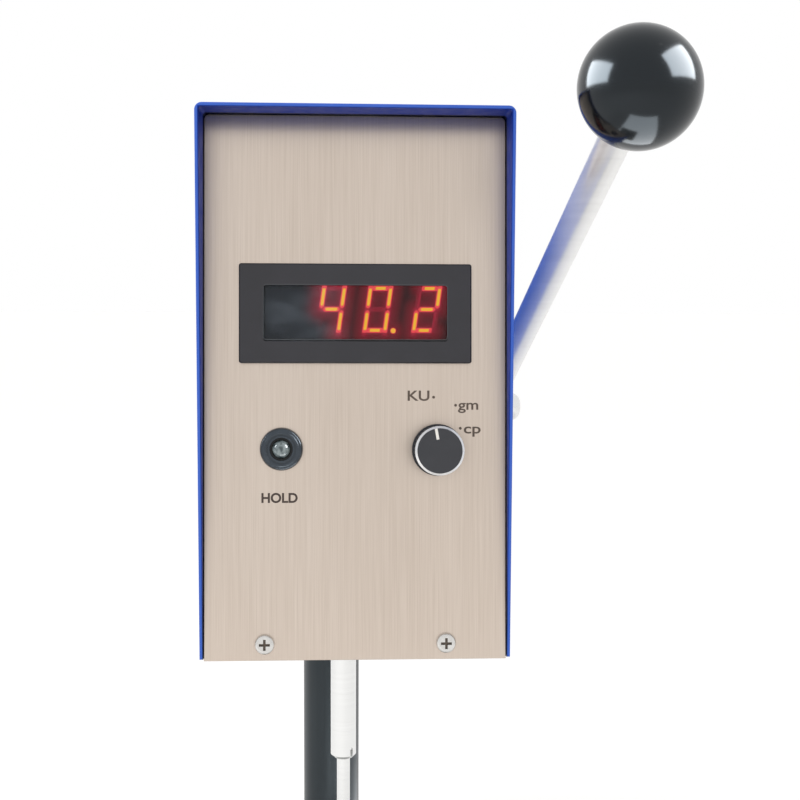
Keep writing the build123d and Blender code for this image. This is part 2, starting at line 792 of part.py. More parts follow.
with BuildPart() as hold_lens:
    with BuildSketch(panel.offset(collar_front - hold_lens_seat)):
        with Locations((hold_x, hold_height)):
            Circle(hold_lens_diameter / 2)
    extrude(amount=hold_lens_length)
    fillet(hold_lens.edges().sort_by(panel_out)[-1], radius=hold_lens_round)

spring_length = hold_bush_depth + collar_back - hold_bush_end - hold_travel - loose_gap
with BuildPart() as hold_spring:
    with BuildSketch(panel.offset(collar_back)):
        with Locations((hold_x, hold_height)):
            Circle(hold_collar_diameter * 0.36)
            Circle(hold_collar_diameter * 0.28, mode=Mode.SUBTRACT)
    extrude(amount=-spring_length)
    spring_turns = 4
    for turn in range(spring_turns):
        depth = collar_back - (turn + 0.5) * spring_length / spring_turns
        with BuildSketch(panel.offset(depth + spring_length / spring_turns * 0.2)):
            with Locations((hold_x, hold_height)):
                Circle(hold_collar_diameter * 0.36)
                Circle(hold_collar_diameter * 0.33, mode=Mode.SUBTRACT)
        extrude(amount=-spring_length / spring_turns * 0.4, mode=Mode.SUBTRACT)

# Selector switch and knob

with BuildPart() as selector_body:
    with BuildSketch(panel.offset(-sheet)):
        with Locations((knob_x, knob_height)):
            Circle(selector_body_diameter / 2)
    extrude(amount=-selector_body_depth)
    with BuildSketch(panel.offset(-sheet)):
        with Locations((knob_x, knob_height)):
            Circle(selector_bush_diameter / 2)
    extrude(amount=sheet + knob_gap + selector_nut_thickness + 1.5)
    with BuildSketch(panel.offset(12.0)):
        with Locations((knob_x, knob_height)):
            Circle(selector_shaft_diameter / 2 + slide_fit)
    extrude(amount=-12.0 - sheet - selector_body_depth + selector_shaft_end, mode=Mode.SUBTRACT)

with BuildPart() as selector_nut:
    with BuildSketch(panel):
        with Locations((knob_x, knob_height)):
            RegularPolygon(hex_points(selector_nut_width), 6)
            Circle(selector_bush_diameter / 2 + press_fit, mode=Mode.SUBTRACT)
    extrude(amount=selector_nut_thickness)

shaft_front = knob_gap + knob_length - knob_roof

with BuildPart() as selector_shaft:
    with BuildSketch(panel.offset(shaft_front)):
        with Locations((knob_x, knob_height)):
            Circle(selector_shaft_diameter / 2)
    extrude(amount=-shaft_front - sheet - selector_body_depth + selector_shaft_end + loose_gap)

with BuildPart() as selector_knob:
    with BuildSketch(panel.offset(knob_gap)):
        with Locations((knob_x, knob_height)):
            Circle(knob_diameter / 2)
    extrude(amount=knob_length)
    with BuildSketch(panel.offset(knob_gap)):
        with Locations((knob_x, knob_height)):
            Circle(knob_skirt_diameter / 2)
    extrude(amount=knob_skirt_height)
    chamfer(selector_knob.edges().sort_by(panel_out)[-1], length=knob_bevel)
    with BuildSketch(panel.offset(knob_gap + knob_skirt_height + 0.6)):
        with Locations((knob_x, knob_height)):
            with PolarLocations(knob_diameter / 2, knob_ribs):
                Circle(knob_rib_radius)
    extrude(amount=knob_length - knob_skirt_height - 2.4, mode=Mode.SUBTRACT)
    with BuildSketch(panel.offset(knob_gap)):
        with Locations((knob_x, knob_height)):
            Circle(selector_shaft_diameter / 2 + press_fit)
    extrude(amount=shaft_front - knob_gap, mode=Mode.SUBTRACT)
    with BuildSketch(panel.offset(knob_gap)):
        with Locations((knob_x, knob_height)):
            Circle(hex_points(selector_nut_width) + 0.6)
    extrude(amount=selector_nut_thickness + 1.8, mode=Mode.SUBTRACT)
    with BuildSketch(panel.offset(knob_gap + knob_length)):
        with Locations(Location((knob_x, knob_height, 0), (0, 0, pointer_angle))):
            with Locations((0, knob_diameter / 2 - knob_bevel)):
                Rectangle(pointer_width, pointer_length, align=(Align.CENTER, Align.MAX))
    extrude(amount=-pointer_depth, mode=Mode.SUBTRACT)

with BuildPart() as knob_pointer:
    with BuildSketch(panel.offset(knob_gap + knob_length - 0.05)):
        with Locations(Location((knob_x, knob_height, 0), (0, 0, pointer_angle))):
            with Locations((0, knob_diameter / 2 - knob_bevel - press_fit)):
                Rectangle(pointer_width - 2 * press_fit, pointer_length - 2 * press_fit,
                          align=(Align.CENTER, Align.MAX))
    extrude(amount=-pointer_depth + 0.05)

# Slide block, bushes and rack gear

block_centre = (column_x, column_y)

with BuildPart() as slide_block:
    with BuildSketch(Plane.XY.offset(block_bottom)):
        with Locations(block_centre):
            RectangleRounded(block_width, block_width, block_corner)
    extrude(amount=block_height)
    for side in (-1, 1):
        start = column_x + (cheek_inner if side > 0 else -cheek_outer)
        with BuildSketch(Plane.YZ.offset(start)):
            with Locations((lever_y, lever_z)):
                Circle(cheek_radius)
                Rectangle(lever_y - column_y, 2 * cheek_radius, align=(Align.MAX, Align.CENTER))
        extrude(amount=cheek_thickness)
    with BuildSketch(Plane.XY.offset(block_bottom)):
        with Locations(block_centre):
            Circle(column_radius + bore_relief)
    extrude(amount=block_height, mode=Mode.SUBTRACT)
    for level, length in ((block_bottom, lower_bush_length),
                          (block_top - upper_bush_length, upper_bush_length)):
        with BuildSketch(Plane.XY.offset(level)):
            with Locations(block_centre):
                Circle(bush_radius + press_fit)
        extrude(amount=length, mode=Mode.SUBTRACT)
    with BuildSketch(Plane.YZ.offset(column_x - cheek_inner)):
        with Locations((lever_y, lever_z)):
            Circle(gear_tip + 1.0)
    extrude(amount=2 * cheek_inner, mode=Mode.SUBTRACT)
    with BuildSketch(Plane.YZ.offset(column_x - cheek_outer)):
        with Locations((lever_y, lever_z)):
            Circle(lever_shaft_diameter / 2 + lever_bush_wall + press_fit)
    extrude(amount=2 * cheek_outer, mode=Mode.SUBTRACT)
    with BuildSketch(Plane.XY.offset(block_bottom)):
        with Locations(block_centre):
            with GridLocations(2 * block_screw_spread, 2 * block_screw_spread, 2, 2):
                Circle(block_screw_diameter / 2 + press_fit)
    extrude(amount=block_screw_depth, mode=Mode.SUBTRACT)

with BuildPart() as column_bushes:
    for level, length in ((block_bottom, lower_bush_length),
                          (block_top - upper_bush_length, upper_bush_length)):
        with BuildSketch(Plane.XY.offset(level)):
            with Locations(block_centre):
                Circle(bush_radius)
                Circle(column_radius + slide_fit, mode=Mode.SUBTRACT)
        extrude(amount=length)

floor_underside = Plane(origin=(0, 0, floor_z), x_dir=(1, 0, 0), z_dir=(0, 0, -1))
block_screws = screws(
    floor_underside,
    [(column_x + sx * block_screw_spread, -(column_y + sy * block_screw_spread))
     for sx in (-1, 1) for sy in (-1, 1)],
    block_screw_diameter, block_screw_length, screw_head_diameter, screw_head_height)

base_radius = gear_radius * math.cos(math.radians(pressure_angle))


def involute_point(radius, side):
    """Point on a tooth flank of the sector, for a tooth that points along local X."""
    pressure = math.acos(min(1.0, base_radius / radius))
    at_pitch = math.radians(pressure_angle)
    half = (gear_pitch - 2 * gear_backlash) / 4 / gear_radius
    turn = half + (math.tan(at_pitch) - at_pitch) - (math.tan(pressure) - pressure)
    return (radius * math.cos(turn), side * radius * math.sin(turn))


with BuildSketch() as gear_tooth:
    with BuildLine():
        foot_r = max(base_radius, gear_root - 0.3)
        flanks = [ThreePointArc(involute_point(foot_r, s), involute_point(gear_radius, s),
                                involute_point(gear_tip, s)) for s in (-1, 1)]
        Line(flanks[0] @ 1, flanks[1] @ 1)
        Line(flanks[0] @ 0, flanks[1] @ 0)
    make_face()

gear_hub_radius = lever_shaft_diameter / 2 + gear_hub_wall
pin_turn = math.radians((sector_start + sector_end) / 2)
pin_along = (0, -math.cos(pin_turn), -math.sin(pin_turn))
pin_line = Plane(origin=(column_x, lever_y - pin_along[1] * gear_hub_radius,
                         lever_z - pin_along[2] * gear_hub_radius),
                 x_dir=(1, 0, 0), z_dir=pin_along)
web_hole_radius = 5.5
web_hole_circle = (gear_hub_radius + gear_root) / 2

with BuildPart() as sector_gear:
    with BuildSketch(gear_plane.offset(-gear_width / 2)):
        with BuildLine():
            rim = CenterArc((0, 0), gear_root, sector_start, sector_end - sector_start)
            Line((0, 0), rim @ 0)
            Line((0, 0), rim @ 1)
        make_face()
        Circle(gear_hub_radius)
        with PolarLocations(0, travel_teeth + 2 * spare_teeth + 1, start_angle=-spare_teeth * tooth_step,
                            angular_range=(travel_teeth + 2 * spare_teeth) * tooth_step, endpoint=True):
            add(gear_tooth.sketch)
        Circle(lever_shaft_diameter / 2 + press_fit, mode=Mode.SUBTRACT)
        with PolarLocations(web_hole_circle, 4, start_angle=sector_start + 22,
                            angular_range=sector_end - sector_start - 44, endpoint=True):
            Circle(web_hole_radius, mode=Mode.SUBTRACT)
    extrude(amount=gear_width)
    with BuildSketch(pin_line):
        Circle(gear_pin_diameter / 2 + press_fit)
    extrude(amount=2 * gear_hub_radius, mode=Mode.SUBTRACT)

with BuildPart() as gear_pin:
    with BuildSketch(pin_line.offset(gear_pin_inset)):
        Circle(gear_pin_diameter / 2)
    extrude(amount=2 * gear_hub_radius - 2 * gear_pin_inset)
    chamfer(gear_pin.edges().filter_by(GeomType.CIRCLE), length=0.3)

with BuildPart() as lever_bushes:
    for side in (-1, 1):
        start = column_x + (cheek_inner if side > 0 else -cheek_outer)
        with BuildSketch(Plane.YZ.offset(start)):
            with Locations((lever_y, lever_z)):
                Circle(lever_shaft_diameter / 2 + lever_bush_wall)
                Circle(lever_shaft_diameter / 2 + slide_fit, mode=Mode.SUBTRACT)
        extrude(amount=cheek_thickness)

# Lift lever outside the right wall

hub_x = right_wall + wall_bush_rim + hub_gap
hub_end = hub_x + hub_length
clip_x = column_x - cheek_outer - loose_gap - clip_groove_width
shaft_left = clip_x - 2 * clip_groove_width

with BuildPart() as lever_shaft:
    with BuildSketch(Plane.YZ.offset(shaft_left)):
        with Locations((lever_y, lever_z)):
            Circle(lever_shaft_diameter / 2)
    extrude(amount=hub_end + cap_nut_length * 0.5 - shaft_left)
    with BuildSketch(Plane.YZ.offset(clip_x)):
        with Locations((lever_y, lever_z)):
            Circle(lever_shaft_diameter / 2)
            Circle(lever_shaft_diameter / 2 - clip_groove_depth, mode=Mode.SUBTRACT)
    extrude(amount=clip_groove_width, mode=Mode.SUBTRACT)
    with BuildSketch(pin_line):
        Circle(gear_pin_diameter / 2 + press_fit)
    extrude(amount=2 * gear_hub_radius, mode=Mode.SUBTRACT)

with BuildPart() as shaft_clip:
    with BuildSketch(Plane.YZ.offset(clip_x + press_fit)):
        with Locations((lever_y, lever_z)):
            Circle(lever_shaft_diameter / 2 + clip_rim)
            Circle(lever_shaft_diameter / 2 - clip_groove_depth + press_fit, mode=Mode.SUBTRACT)
            Rectangle(lever_shaft_diameter, lever_shaft_diameter * 0.5, align=(Align.MIN, Align.CENTER),
                      mode=Mode.SUBTRACT)
    extrude(amount=clip_groove_width - 2 * press_fit)

with BuildPart() as wall_bush:
    with BuildSketch(Plane.YZ.offset(right_wall)):
        with Locations((lever_y, lever_z)):
            Circle(wall_bush_flange / 2)
    extrude(amount=wall_bush_rim)
    with BuildSketch(Plane.YZ.offset(right_wall)):
        with Locations((lever_y, lever_z)):
            Circle(lever_shaft_diameter / 2 + wall_bush_wall - press_fit)
    extrude(amount=-sheet - 2.0)
    with BuildSketch(Plane.YZ.offset(right_wall + wall_bush_rim)):
        with Locations((lever_y, lever_z)):
            Circle(lever_shaft_diameter / 2 + slide_fit)
    extrude(amount=-sheet - 3.0, mode=Mode.SUBTRACT)

tilt, splay = math.radians(lever_lean), math.radians(lever_splay)
lever_line = Plane(
    origin=(rod_x, lever_y, lever_z),
    x_dir=(math.cos(splay), math.sin(splay) * math.sin(tilt), -math.sin(splay) * math.cos(tilt)),
    z_dir=(math.sin(splay), -math.cos(splay) * math.sin(tilt), math.cos(splay) * math.cos(tilt)))

with BuildPart() as lever_hub:
    with BuildSketch(Plane.YZ.offset(hub_x)):
        with Locations((lever_y, lever_z)):
            Circle(hub_diameter / 2)
    extrude(amount=hub_length)
    fillet(lever_hub.edges().filter_by(GeomType.CIRCLE), radius=1.2)
    with BuildSketch(lever_line):
        Circle(rod_diameter / 2)
    extrude(amount=hub_neck)
    with BuildSketch(lever_line):
        Circle(rod_spigot_diameter / 2 + press_fit)
    extrude(amount=hub_neck, mode=Mode.SUBTRACT)
    with BuildSketch(Plane.YZ.offset(hub_x)):
        with Locations((lever_y, lever_z)):
            Circle(lever_shaft_diameter / 2 + press_fit)
    extrude(amount=hub_length, mode=Mode.SUBTRACT)

ball_seat = math.sqrt((ball_diameter / 2) ** 2 - ball_flat_radius ** 2)

with BuildPart() as lever_rod:
    with BuildSketch(lever_line.offset(hub_neck)):
        Circle(rod_diameter / 2)
    extrude(amount=lever_length - ball_seat - hub_neck)
    with BuildSketch(lever_line.offset(lever_shaft_diameter / 2 + rod_spigot_gap)):
        Circle(rod_spigot_diameter / 2)
    extrude(amount=hub_neck - lever_shaft_diameter / 2 - rod_spigot_gap)
    with BuildSketch(lever_line.offset(lever_length - ball_seat)):
        Circle(rod_spigot_diameter / 2)
    extrude(amount=rod_thread)

with BuildPart() as lever_ball:
    with Locations(lever_line.offset(lever_length)):
        Sphere(ball_diameter / 2)
    with BuildSketch(lever_line.offset(lever_length - ball_seat)):
        Circle(ball_diameter / 2)
    extrude(amount=-ball_diameter, mode=Mode.SUBTRACT)
    with BuildSketch(lever_line.offset(lever_length - ball_seat)):
        Circle(rod_spigot_diameter / 2 + press_fit)
    extrude(amount=rod_thread + 1.0, mode=Mode.SUBTRACT)

with BuildPart() as lever_cap_nut:
    with BuildSketch(Plane.YZ.offset(hub_end)):
        with Locations((lever_y, lever_z)):
            RegularPolygon(hex_points(cap_nut_width), 6)
    extrude(amount=cap_nut_length * 0.5)
    with BuildSketch(Plane.YZ.offset(hub_end)):
        with Locations((lever_y, lever_z)):
            Circle(cap_nut_width * 0.49)
    extrude(amount=cap_nut_length)
    fillet(lever_cap_nut.edges().filter_by(GeomType.CIRCLE).sort_by(Axis.X)[-1], radius=cap_nut_length * 0.48)
    with BuildSketch(Plane.YZ.offset(hub_end)):
        with Locations((lever_y, lever_z)):
            Circle(lever_shaft_diameter / 2 + press_fit)
    extrude(amount=cap_nut_length * 0.5 + 0.5, mode=Mode.SUBTRACT)

# Spindle, torque spring and motor

housing_bottom = floor_top
housing_top = housing_bottom + housing_height
plate_bottom = housing_top + spring_room
plate_top = plate_bottom + motor_plate_thickness
journal_bottom = housing_bottom + 0.5
lower_disc_z = housing_top + lower_disc_rise
upper_disc_z = plate_bottom - upper_disc_drop

with BuildPart() as spindle_housing:
    with BuildSketch(Plane.XY.offset(housing_bottom)):
        RectangleRounded(housing_size, housing_size, housing_corner)
    extrude(amount=housing_flange)
    with BuildSketch(Plane.XY.offset(housing_bottom)):
        Circle(housing_tube_diameter / 2)
    extrude(amount=housing_height)
    with BuildSketch(Plane.XY.offset(housing_bottom)):
        Circle(journal_diameter / 2 + housing_bore_gap)
    extrude(amount=housing_height, mode=Mode.SUBTRACT)
    for level in (housing_bottom, housing_top - bearing_width):
        with BuildSketch(Plane.XY.offset(level)):
            Circle(bearing_diameter / 2 + press_fit)
        extrude(amount=bearing_width, mode=Mode.SUBTRACT)
    with BuildSketch(Plane.XY.offset(housing_bottom)):
        with GridLocations(2 * pillar_spread, 2 * pillar_spread, 2, 2):
            Circle(block_screw_diameter / 2 + press_fit)
    extrude(amount=housing_flange, mode=Mode.SUBTRACT)

with BuildPart() as spindle_bearings:
    for level in (housing_bottom, housing_top - bearing_width):
        with BuildSketch(Plane.XY.offset(level)):
            Circle(bearing_diameter / 2)
            Circle(journal_diameter / 2 + slide_fit, mode=Mode.SUBTRACT)
        extrude(amount=bearing_width)
        for face in (level, level + bearing_width - bearing_shield_sink):
            with BuildSketch(Plane.XY.offset(face)):
                Circle(bearing_diameter / 2 - bearing_ring)
                Circle(journal_diameter / 2 + bearing_ring, mode=Mode.SUBTRACT)
            extrude(amount=bearing_shield_sink, mode=Mode.SUBTRACT)

slot_run = drive_slot_length - drive_slot_width / 2
slot_turn = math.radians(drive_slot_turn)
slot_plane = Plane(origin=(0, 0, 0), x_dir=(-math.sin(slot_turn), math.cos(slot_turn), 0),
                   z_dir=(math.cos(slot_turn), math.sin(slot_turn), 0))

with BuildPart() as drive_sleeve:
    with BuildSketch(Plane.XY.offset(sleeve_end)):
        Circle(sleeve_diameter / 2)
    extrude(amount=journal_bottom - 0.5 - sleeve_end - loose_gap)
    chamfer(drive_sleeve.edges().group_by(Axis.Z)[0], length=sleeve_chamfer)
    with BuildSketch(Plane.XY.offset(journal_bottom - 1.0)):
        Circle(journal_diameter / 2)
    extrude(amount=lower_disc_z - journal_bottom + 1.0)
    with BuildSketch(Plane.XY.offset(sleeve_end)):
        Circle(rotor_diameter / 2 + press_fit)
    extrude(amount=rotor_grip + rotor_end_gap, mode=Mode.SUBTRACT)
    with BuildSketch(Plane.XZ.offset(-sleeve_diameter)):
        with Locations((0, sleeve_end + rotor_grip / 2)):
            Circle(set_screw_diameter / 2 + press_fit)
    extrude(amount=sleeve_diameter, mode=Mode.SUBTRACT)
    with BuildSketch(slot_plane):
        with Locations((0, sleeve_end)):
            SlotCenterToCenter(2 * slot_run, drive_slot_width, rotation=90)
    extrude(amount=sleeve_diameter, mode=Mode.SUBTRACT)

with BuildPart() as sleeve_screw:
    with BuildSketch(Plane.XZ.offset(-sleeve_diameter / 2 - set_screw_rise)):
        with Locations((0, sleeve_end + rotor_grip / 2)):
            Circle(set_screw_diameter / 2)
            RegularPolygon(set_screw_socket, 6, mode=Mode.SUBTRACT)
    extrude(amount=sleeve_diameter / 2 + set_screw_rise - rotor_diameter / 2 - press_fit)

with BuildPart() as rotor_shaft:
    with BuildSketch(Plane.XY.offset(paddle_bottom + paddle_blade_height / 2 + paddle_bar_height / 2)):
        Circle(rotor_diameter / 2)
    extrude(amount=sleeve_end + rotor_grip - paddle_bottom - paddle_blade_height / 2 - paddle_bar_height / 2)
    chamfer(rotor_shaft.edges().group_by(Axis.Z)[-1], length=0.6)
    with BuildSketch(slot_plane):
        with Locations((0, sleeve_end + slot_run - press_fit)):
            Circle(drive_slot_width / 2 - press_fit)
    extrude(amount=sleeve_diameter / 2 - drive_pin_sink)

paddle_mid = paddle_bottom + paddle_blade_height / 2

with BuildPart() as rotor_paddle:
    with BuildSketch(Plane.XY.offset(paddle_mid - paddle_bar_height / 2)):
        Rectangle(paddle_span - paddle_sheet, paddle_sheet)
    extrude(amount=paddle_bar_height)
    for side in (-1, 1):
        with BuildSketch(Plane.XY.offset(paddle_bottom)):
            with Locations((side * (paddle_span - paddle_sheet) / 2, side * paddle_blade_width / 2
                            - side * paddle_sheet / 2)):
                Rectangle(paddle_sheet, paddle_blade_width)
        extrude(amount=paddle_blade_height)
    with BuildSketch(Plane.XY.offset(paddle_mid - paddle_bar_height / 2)):
        Circle(rotor_diameter / 2 + paddle_hub_wall)
    extrude(amount=paddle_bar_height)

with BuildPart() as torque_discs:
    for level in (lower_disc_z, upper_disc_z):
        with BuildSketch(Plane.XY.offset(level)):
            Circle(disc_diameter / 2)
            with PolarLocations(disc_diameter / 2 - disc_slot_depth, disc_slots):
                Rectangle(disc_slot_depth, disc_slot_width, mode=Mode.SUBTRACT)
        extrude(amount=disc_thickness)

with BuildPart() as torque_sensor:
    with BuildSketch(Plane.XY.offset(housing_bottom + housing_flange)):
        with Locations((0, sensor_post_y)):
            Rectangle(sensor_post_width, sensor_post_depth, align=(Align.CENTER, Align.MIN))
    extrude(amount=plate_bottom - housing_bottom - housing_flange)
    with BuildSketch(Plane.XY.offset(housing_top + 0.5)):
        with Locations((0, disc_diameter / 2 - disc_slot_depth - sensor_gap)):
            Rectangle(sensor_jaw_width, sensor_jaw_depth, align=(Align.CENTER, Align.MIN))
    extrude(amount=plate_bottom - housing_top - 0.5)
    for level in (lower_disc_z, upper_disc_z):
        with BuildSketch(Plane.XY.offset(level - sensor_gap)):
            Rectangle(sensor_post_width, disc_diameter / 2 + sensor_gap, align=(Align.CENTER, Align.MIN))
        extrude(amount=disc_thickness + 2 * sensor_gap, mode=Mode.SUBTRACT)

spring_bottom = lower_disc_z + disc_thickness
spring_height = upper_disc_z - spring_bottom
with BuildPart() as torque_spring:
    with BuildLine():
        Helix(pitch=(spring_height - spring_wire) / torque_spring_turns, height=spring_height - spring_wire,
              radius=spring_diameter / 2, center=(0, 0, spring_bottom + spring_wire / 2))
    with BuildSketch(Plane(origin=(spring_diameter / 2, 0, spring_bottom + spring_wire / 2),
                           z_dir=(0, 1, 0))):
        Rectangle(spring_wire * 0.95, spring_wire * 0.95)
    sweep(is_frenet=True)

with BuildPart() as motor_shaft:
    with BuildSketch(Plane.XY.offset(upper_disc_z + disc_thickness)):
        Circle(motor_shaft_diameter / 2)
    extrude(amount=plate_top + motor_shaft_grip - upper_disc_z - disc_thickness)

with BuildPart() as motor_pillars:
    with BuildSketch(Plane.XY.offset(housing_bottom + housing_flange)):
        with GridLocations(2 * pillar_spread, 2 * pillar_spread, 2, 2):
            Circle(pillar_diameter / 2)
            Circle(block_screw_diameter / 2 + press_fit, mode=Mode.SUBTRACT)
    extrude(amount=plate_bottom - housing_bottom - housing_flange)

with BuildPart() as motor_plate:
    with BuildSketch(Plane.XY.offset(plate_bottom)):
        RectangleRounded(housing_size, housing_size, housing_corner)
        Circle(motor_boss_diameter / 2 + press_fit, mode=Mode.SUBTRACT)
        with GridLocations(2 * pillar_spread, 2 * pillar_spread, 2, 2):
            Circle(block_screw_diameter / 2 + press_fit, mode=Mode.SUBTRACT)
    extrude(amount=motor_plate_thickness)

with BuildPart() as drive_motor:
    with BuildSketch(Plane.XY.offset(plate_top)):
        RectangleRounded(motor_size, motor_size, motor_corner)
    extrude(amount=motor_height)
    for level in (plate_top + motor_groove_inset, plate_top + motor_height - motor_groove_inset):
        with BuildSketch(Plane.XY.offset(level)):
            RectangleRounded(motor_size + motor_groove, motor_size + motor_groove, motor_corner)
            RectangleRounded(motor_size - 2 * motor_groove, motor_size - 2 * motor_groove,
                             motor_corner - motor_groove, mode=Mode.SUBTRACT)
        extrude(amount=motor_groove, mode=Mode.SUBTRACT)
    with BuildSketch(Plane.XY.offset(plate_top)):
        Circle(motor_boss_diameter / 2)
    extrude(amount=-motor_boss_height)
    with BuildSketch(Plane.XY.offset(plate_top - motor_boss_height)):
        Circle(motor_shaft_diameter / 2 + slide_fit)
    extrude(amount=motor_boss_height + motor_shaft_grip + loose_gap, mode=Mode.SUBTRACT)

pillar_points = [(sx * pillar_spread, sy * pillar_spread) for sx in (-1, 1) for sy in (-1, 1)]
pillar_screws = screws(floor_underside, [(x, -y) for x, y in pillar_points], block_screw_diameter,
                       sheet + housing_flange + pillar_screw_grip, screw_head_diameter, screw_head_height)
plate_screws = screws(Plane.XY.offset(plate_top), pillar_points, block_screw_diameter,
                      motor_plate_thickness + pillar_screw_grip, screw_head_diameter, screw_head_height)
with BuildPart() as chassis_screws:
    add(block_screws.part)
    add(pillar_screws.part)
    add(plate_screws.part)

# Electronics inside the head

module_x = head_offset - inner_half + module_foot_width / 2 + module_wall_gap

with BuildPart() as power_module:
    with BuildSketch(Plane.XY.offset(floor_top)):
        with Locations((module_x, module_y)):
            RectangleRounded(module_width, module_length, module_width / 12)
    extrude(amount=module_height)
    fillet(power_module.edges().group_by(Axis.Z)[-1], radius=module_width / 16)
    with BuildSketch(Plane.XY.offset(floor_top)):
        with Locations((module_x, module_y)):
            Rectangle(module_foot_width, module_length + 2 * module_ear)
            with GridLocations(0, module_length + module_ear, 1, 2):
                Circle(module_ear / 4, mode=Mode.SUBTRACT)
    extrude(amount=board_thickness)

board_x = head_offset + inner_half - bracket_foot - bracket_wall_gap - spacer_length
bracket_x = board_x + spacer_length
board_z = floor_top + bracket_height - board_tall / 2

with BuildPart() as board_bracket:
    with BuildSketch(Plane.XZ.offset(-(board_y - bracket_length / 2))):
        with BuildLine():
            FilletPolyline((bracket_x + bracket_foot, floor_top), (bracket_x, floor_top),
                           (bracket_x, floor_top + bracket_height), radius=bend_radius)
            offset(amount=sheet, side=Side.RIGHT)
        make_face()
    extrude(amount=-bracket_length)
    with BuildSketch(Plane.YZ.offset(board_x)):
        with Locations((board_y, board_z)):
            with GridLocations(board_length - 2 * spacer_inset, board_tall - 2 * spacer_inset, 2, 2):
                Circle(spacer_diameter / 2)
    extrude(amount=spacer_length)

with BuildPart() as main_board:
    with BuildSketch(Plane.YZ.offset(board_x)):
        with Locations((board_y, board_z)):
            Rectangle(board_length, board_tall)
    extrude(amount=-board_thickness)
    with BuildSketch(Plane.YZ.offset(board_x - board_thickness)):
        with Locations((board_y - board_length / 7, board_z + board_tall / 8)):
            Rectangle(chip_size, chip_size)
        with Locations((board_y + board_length / 5, board_z - board_tall / 7)):
            Rectangle(chip_size * 0.75, chip_size * 1.4)
    extrude(amount=-chip_height)
    with BuildSketch(Plane.YZ.offset(board_x - board_thickness)):
        with Locations((board_y + board_length / 4, board_z + board_tall / 3.5),
                       (board_y - board_length / 3, board_z - board_tall / 3.5)):
            Circle(capacitor_diameter / 2)
    extrude(amount=-capacitor_height)

with BuildPart() as circuit_boards:
    add(display_board.part)
    add(main_board.part)

# Back panel: inlet and rocker switch

mouth_z = inlet_mouth_tall / 2

with BuildSketch() as inlet_mouth:
    Rectangle(inlet_mouth_width, inlet_mouth_tall)
    chamfer(inlet_mouth.vertices().group_by(Axis.Y)[-1], length=inlet_mouth_corner)

with BuildPart() as power_inlet:
    with BuildSketch(back_plane):
        with Locations((inlet_x, inlet_height)):
            RectangleRounded(inlet_width + 2 * inlet_flange, inlet_tall + 2 * inlet_flange, inlet_flange)
    extrude(amount=inlet_flange)
    with BuildSketch(back_plane):
        with Locations((inlet_x, inlet_height)):
            Rectangle(inlet_width, inlet_tall)
    extrude(amount=-inlet_depth)
    with BuildSketch(back_plane.offset(inlet_flange)):
        with Locations((inlet_x, inlet_height)):
            add(inlet_mouth.sketch)
    extrude(amount=-inlet_mouth_depth, mode=Mode.SUBTRACT)

with BuildPart() as inlet_pins:
    with BuildSketch(back_plane.offset(inlet_flange - inlet_mouth_depth)):
        with Locations((inlet_x, inlet_height)):
            with Locations((-inlet_pin_spread, -mouth_z / 5), (inlet_pin_spread, -mouth_z / 5),
                           (0, mouth_z / 4)):
                Rectangle(inlet_pin_width, inlet_pin_tall)
    extrude(amount=inlet_pin_length)

with BuildPart() as rocker_body:
    with BuildSketch(back_plane):
        with Locations((inlet_x, rocker_height)):
            Rectangle(rocker_width + 2 * rocker_rim, rocker_tall + 2 * rocker_rim)
    extrude(amount=rocker_rim)
    with BuildSketch(back_plane):
        with Locations((inlet_x, rocker_height)):
            Rectangle(rocker_width, rocker_tall)
    extrude(amount=-rocker_body_depth)
    with BuildSketch(back_plane.offset(rocker_rim)):
        with Locations((inlet_x, rocker_height)):
            Rectangle(rocker_width - 2 * rocker_wall, rocker_tall - 2 * rocker_wall)
    extrude(amount=-rocker_rim - rocker_pocket, mode=Mode.SUBTRACT)

rocker_half = rocker_tall / 2 - rocker_wall - 1.1
rocker_rise = rocker_half * math.tan(math.radians(rocker_tilt))
rocker_crown = rocker_pivot_depth + rocker_proud
rest_tilt = math.radians(-rocker_tilt)
rocker_side = Plane(
    origin=(head_offset - inlet_x - rocker_width / 2 + rocker_wall + loose_gap,
            back_y - rocker_pivot_depth, head_z + rocker_height),
    x_dir=(0, math.cos(rest_tilt), math.sin(rest_tilt)), z_dir=(1, 0, 0))

with BuildPart() as power_rocker:
    with BuildSketch(rocker_side):
        with BuildLine():
            Polyline((rocker_crown, 0), (rocker_crown + rocker_rise, rocker_half),
                     (0, rocker_half * 0.93), (-rocker_pivot_depth, rocker_half / 3),
                     (-rocker_pivot_depth, -rocker_half / 3), (0, -rocker_half * 0.93),
                     (rocker_crown + rocker_rise, -rocker_half), close=True)
        make_face()
    extrude(amount=rocker_width - 2 * rocker_wall - 2 * loose_gap)

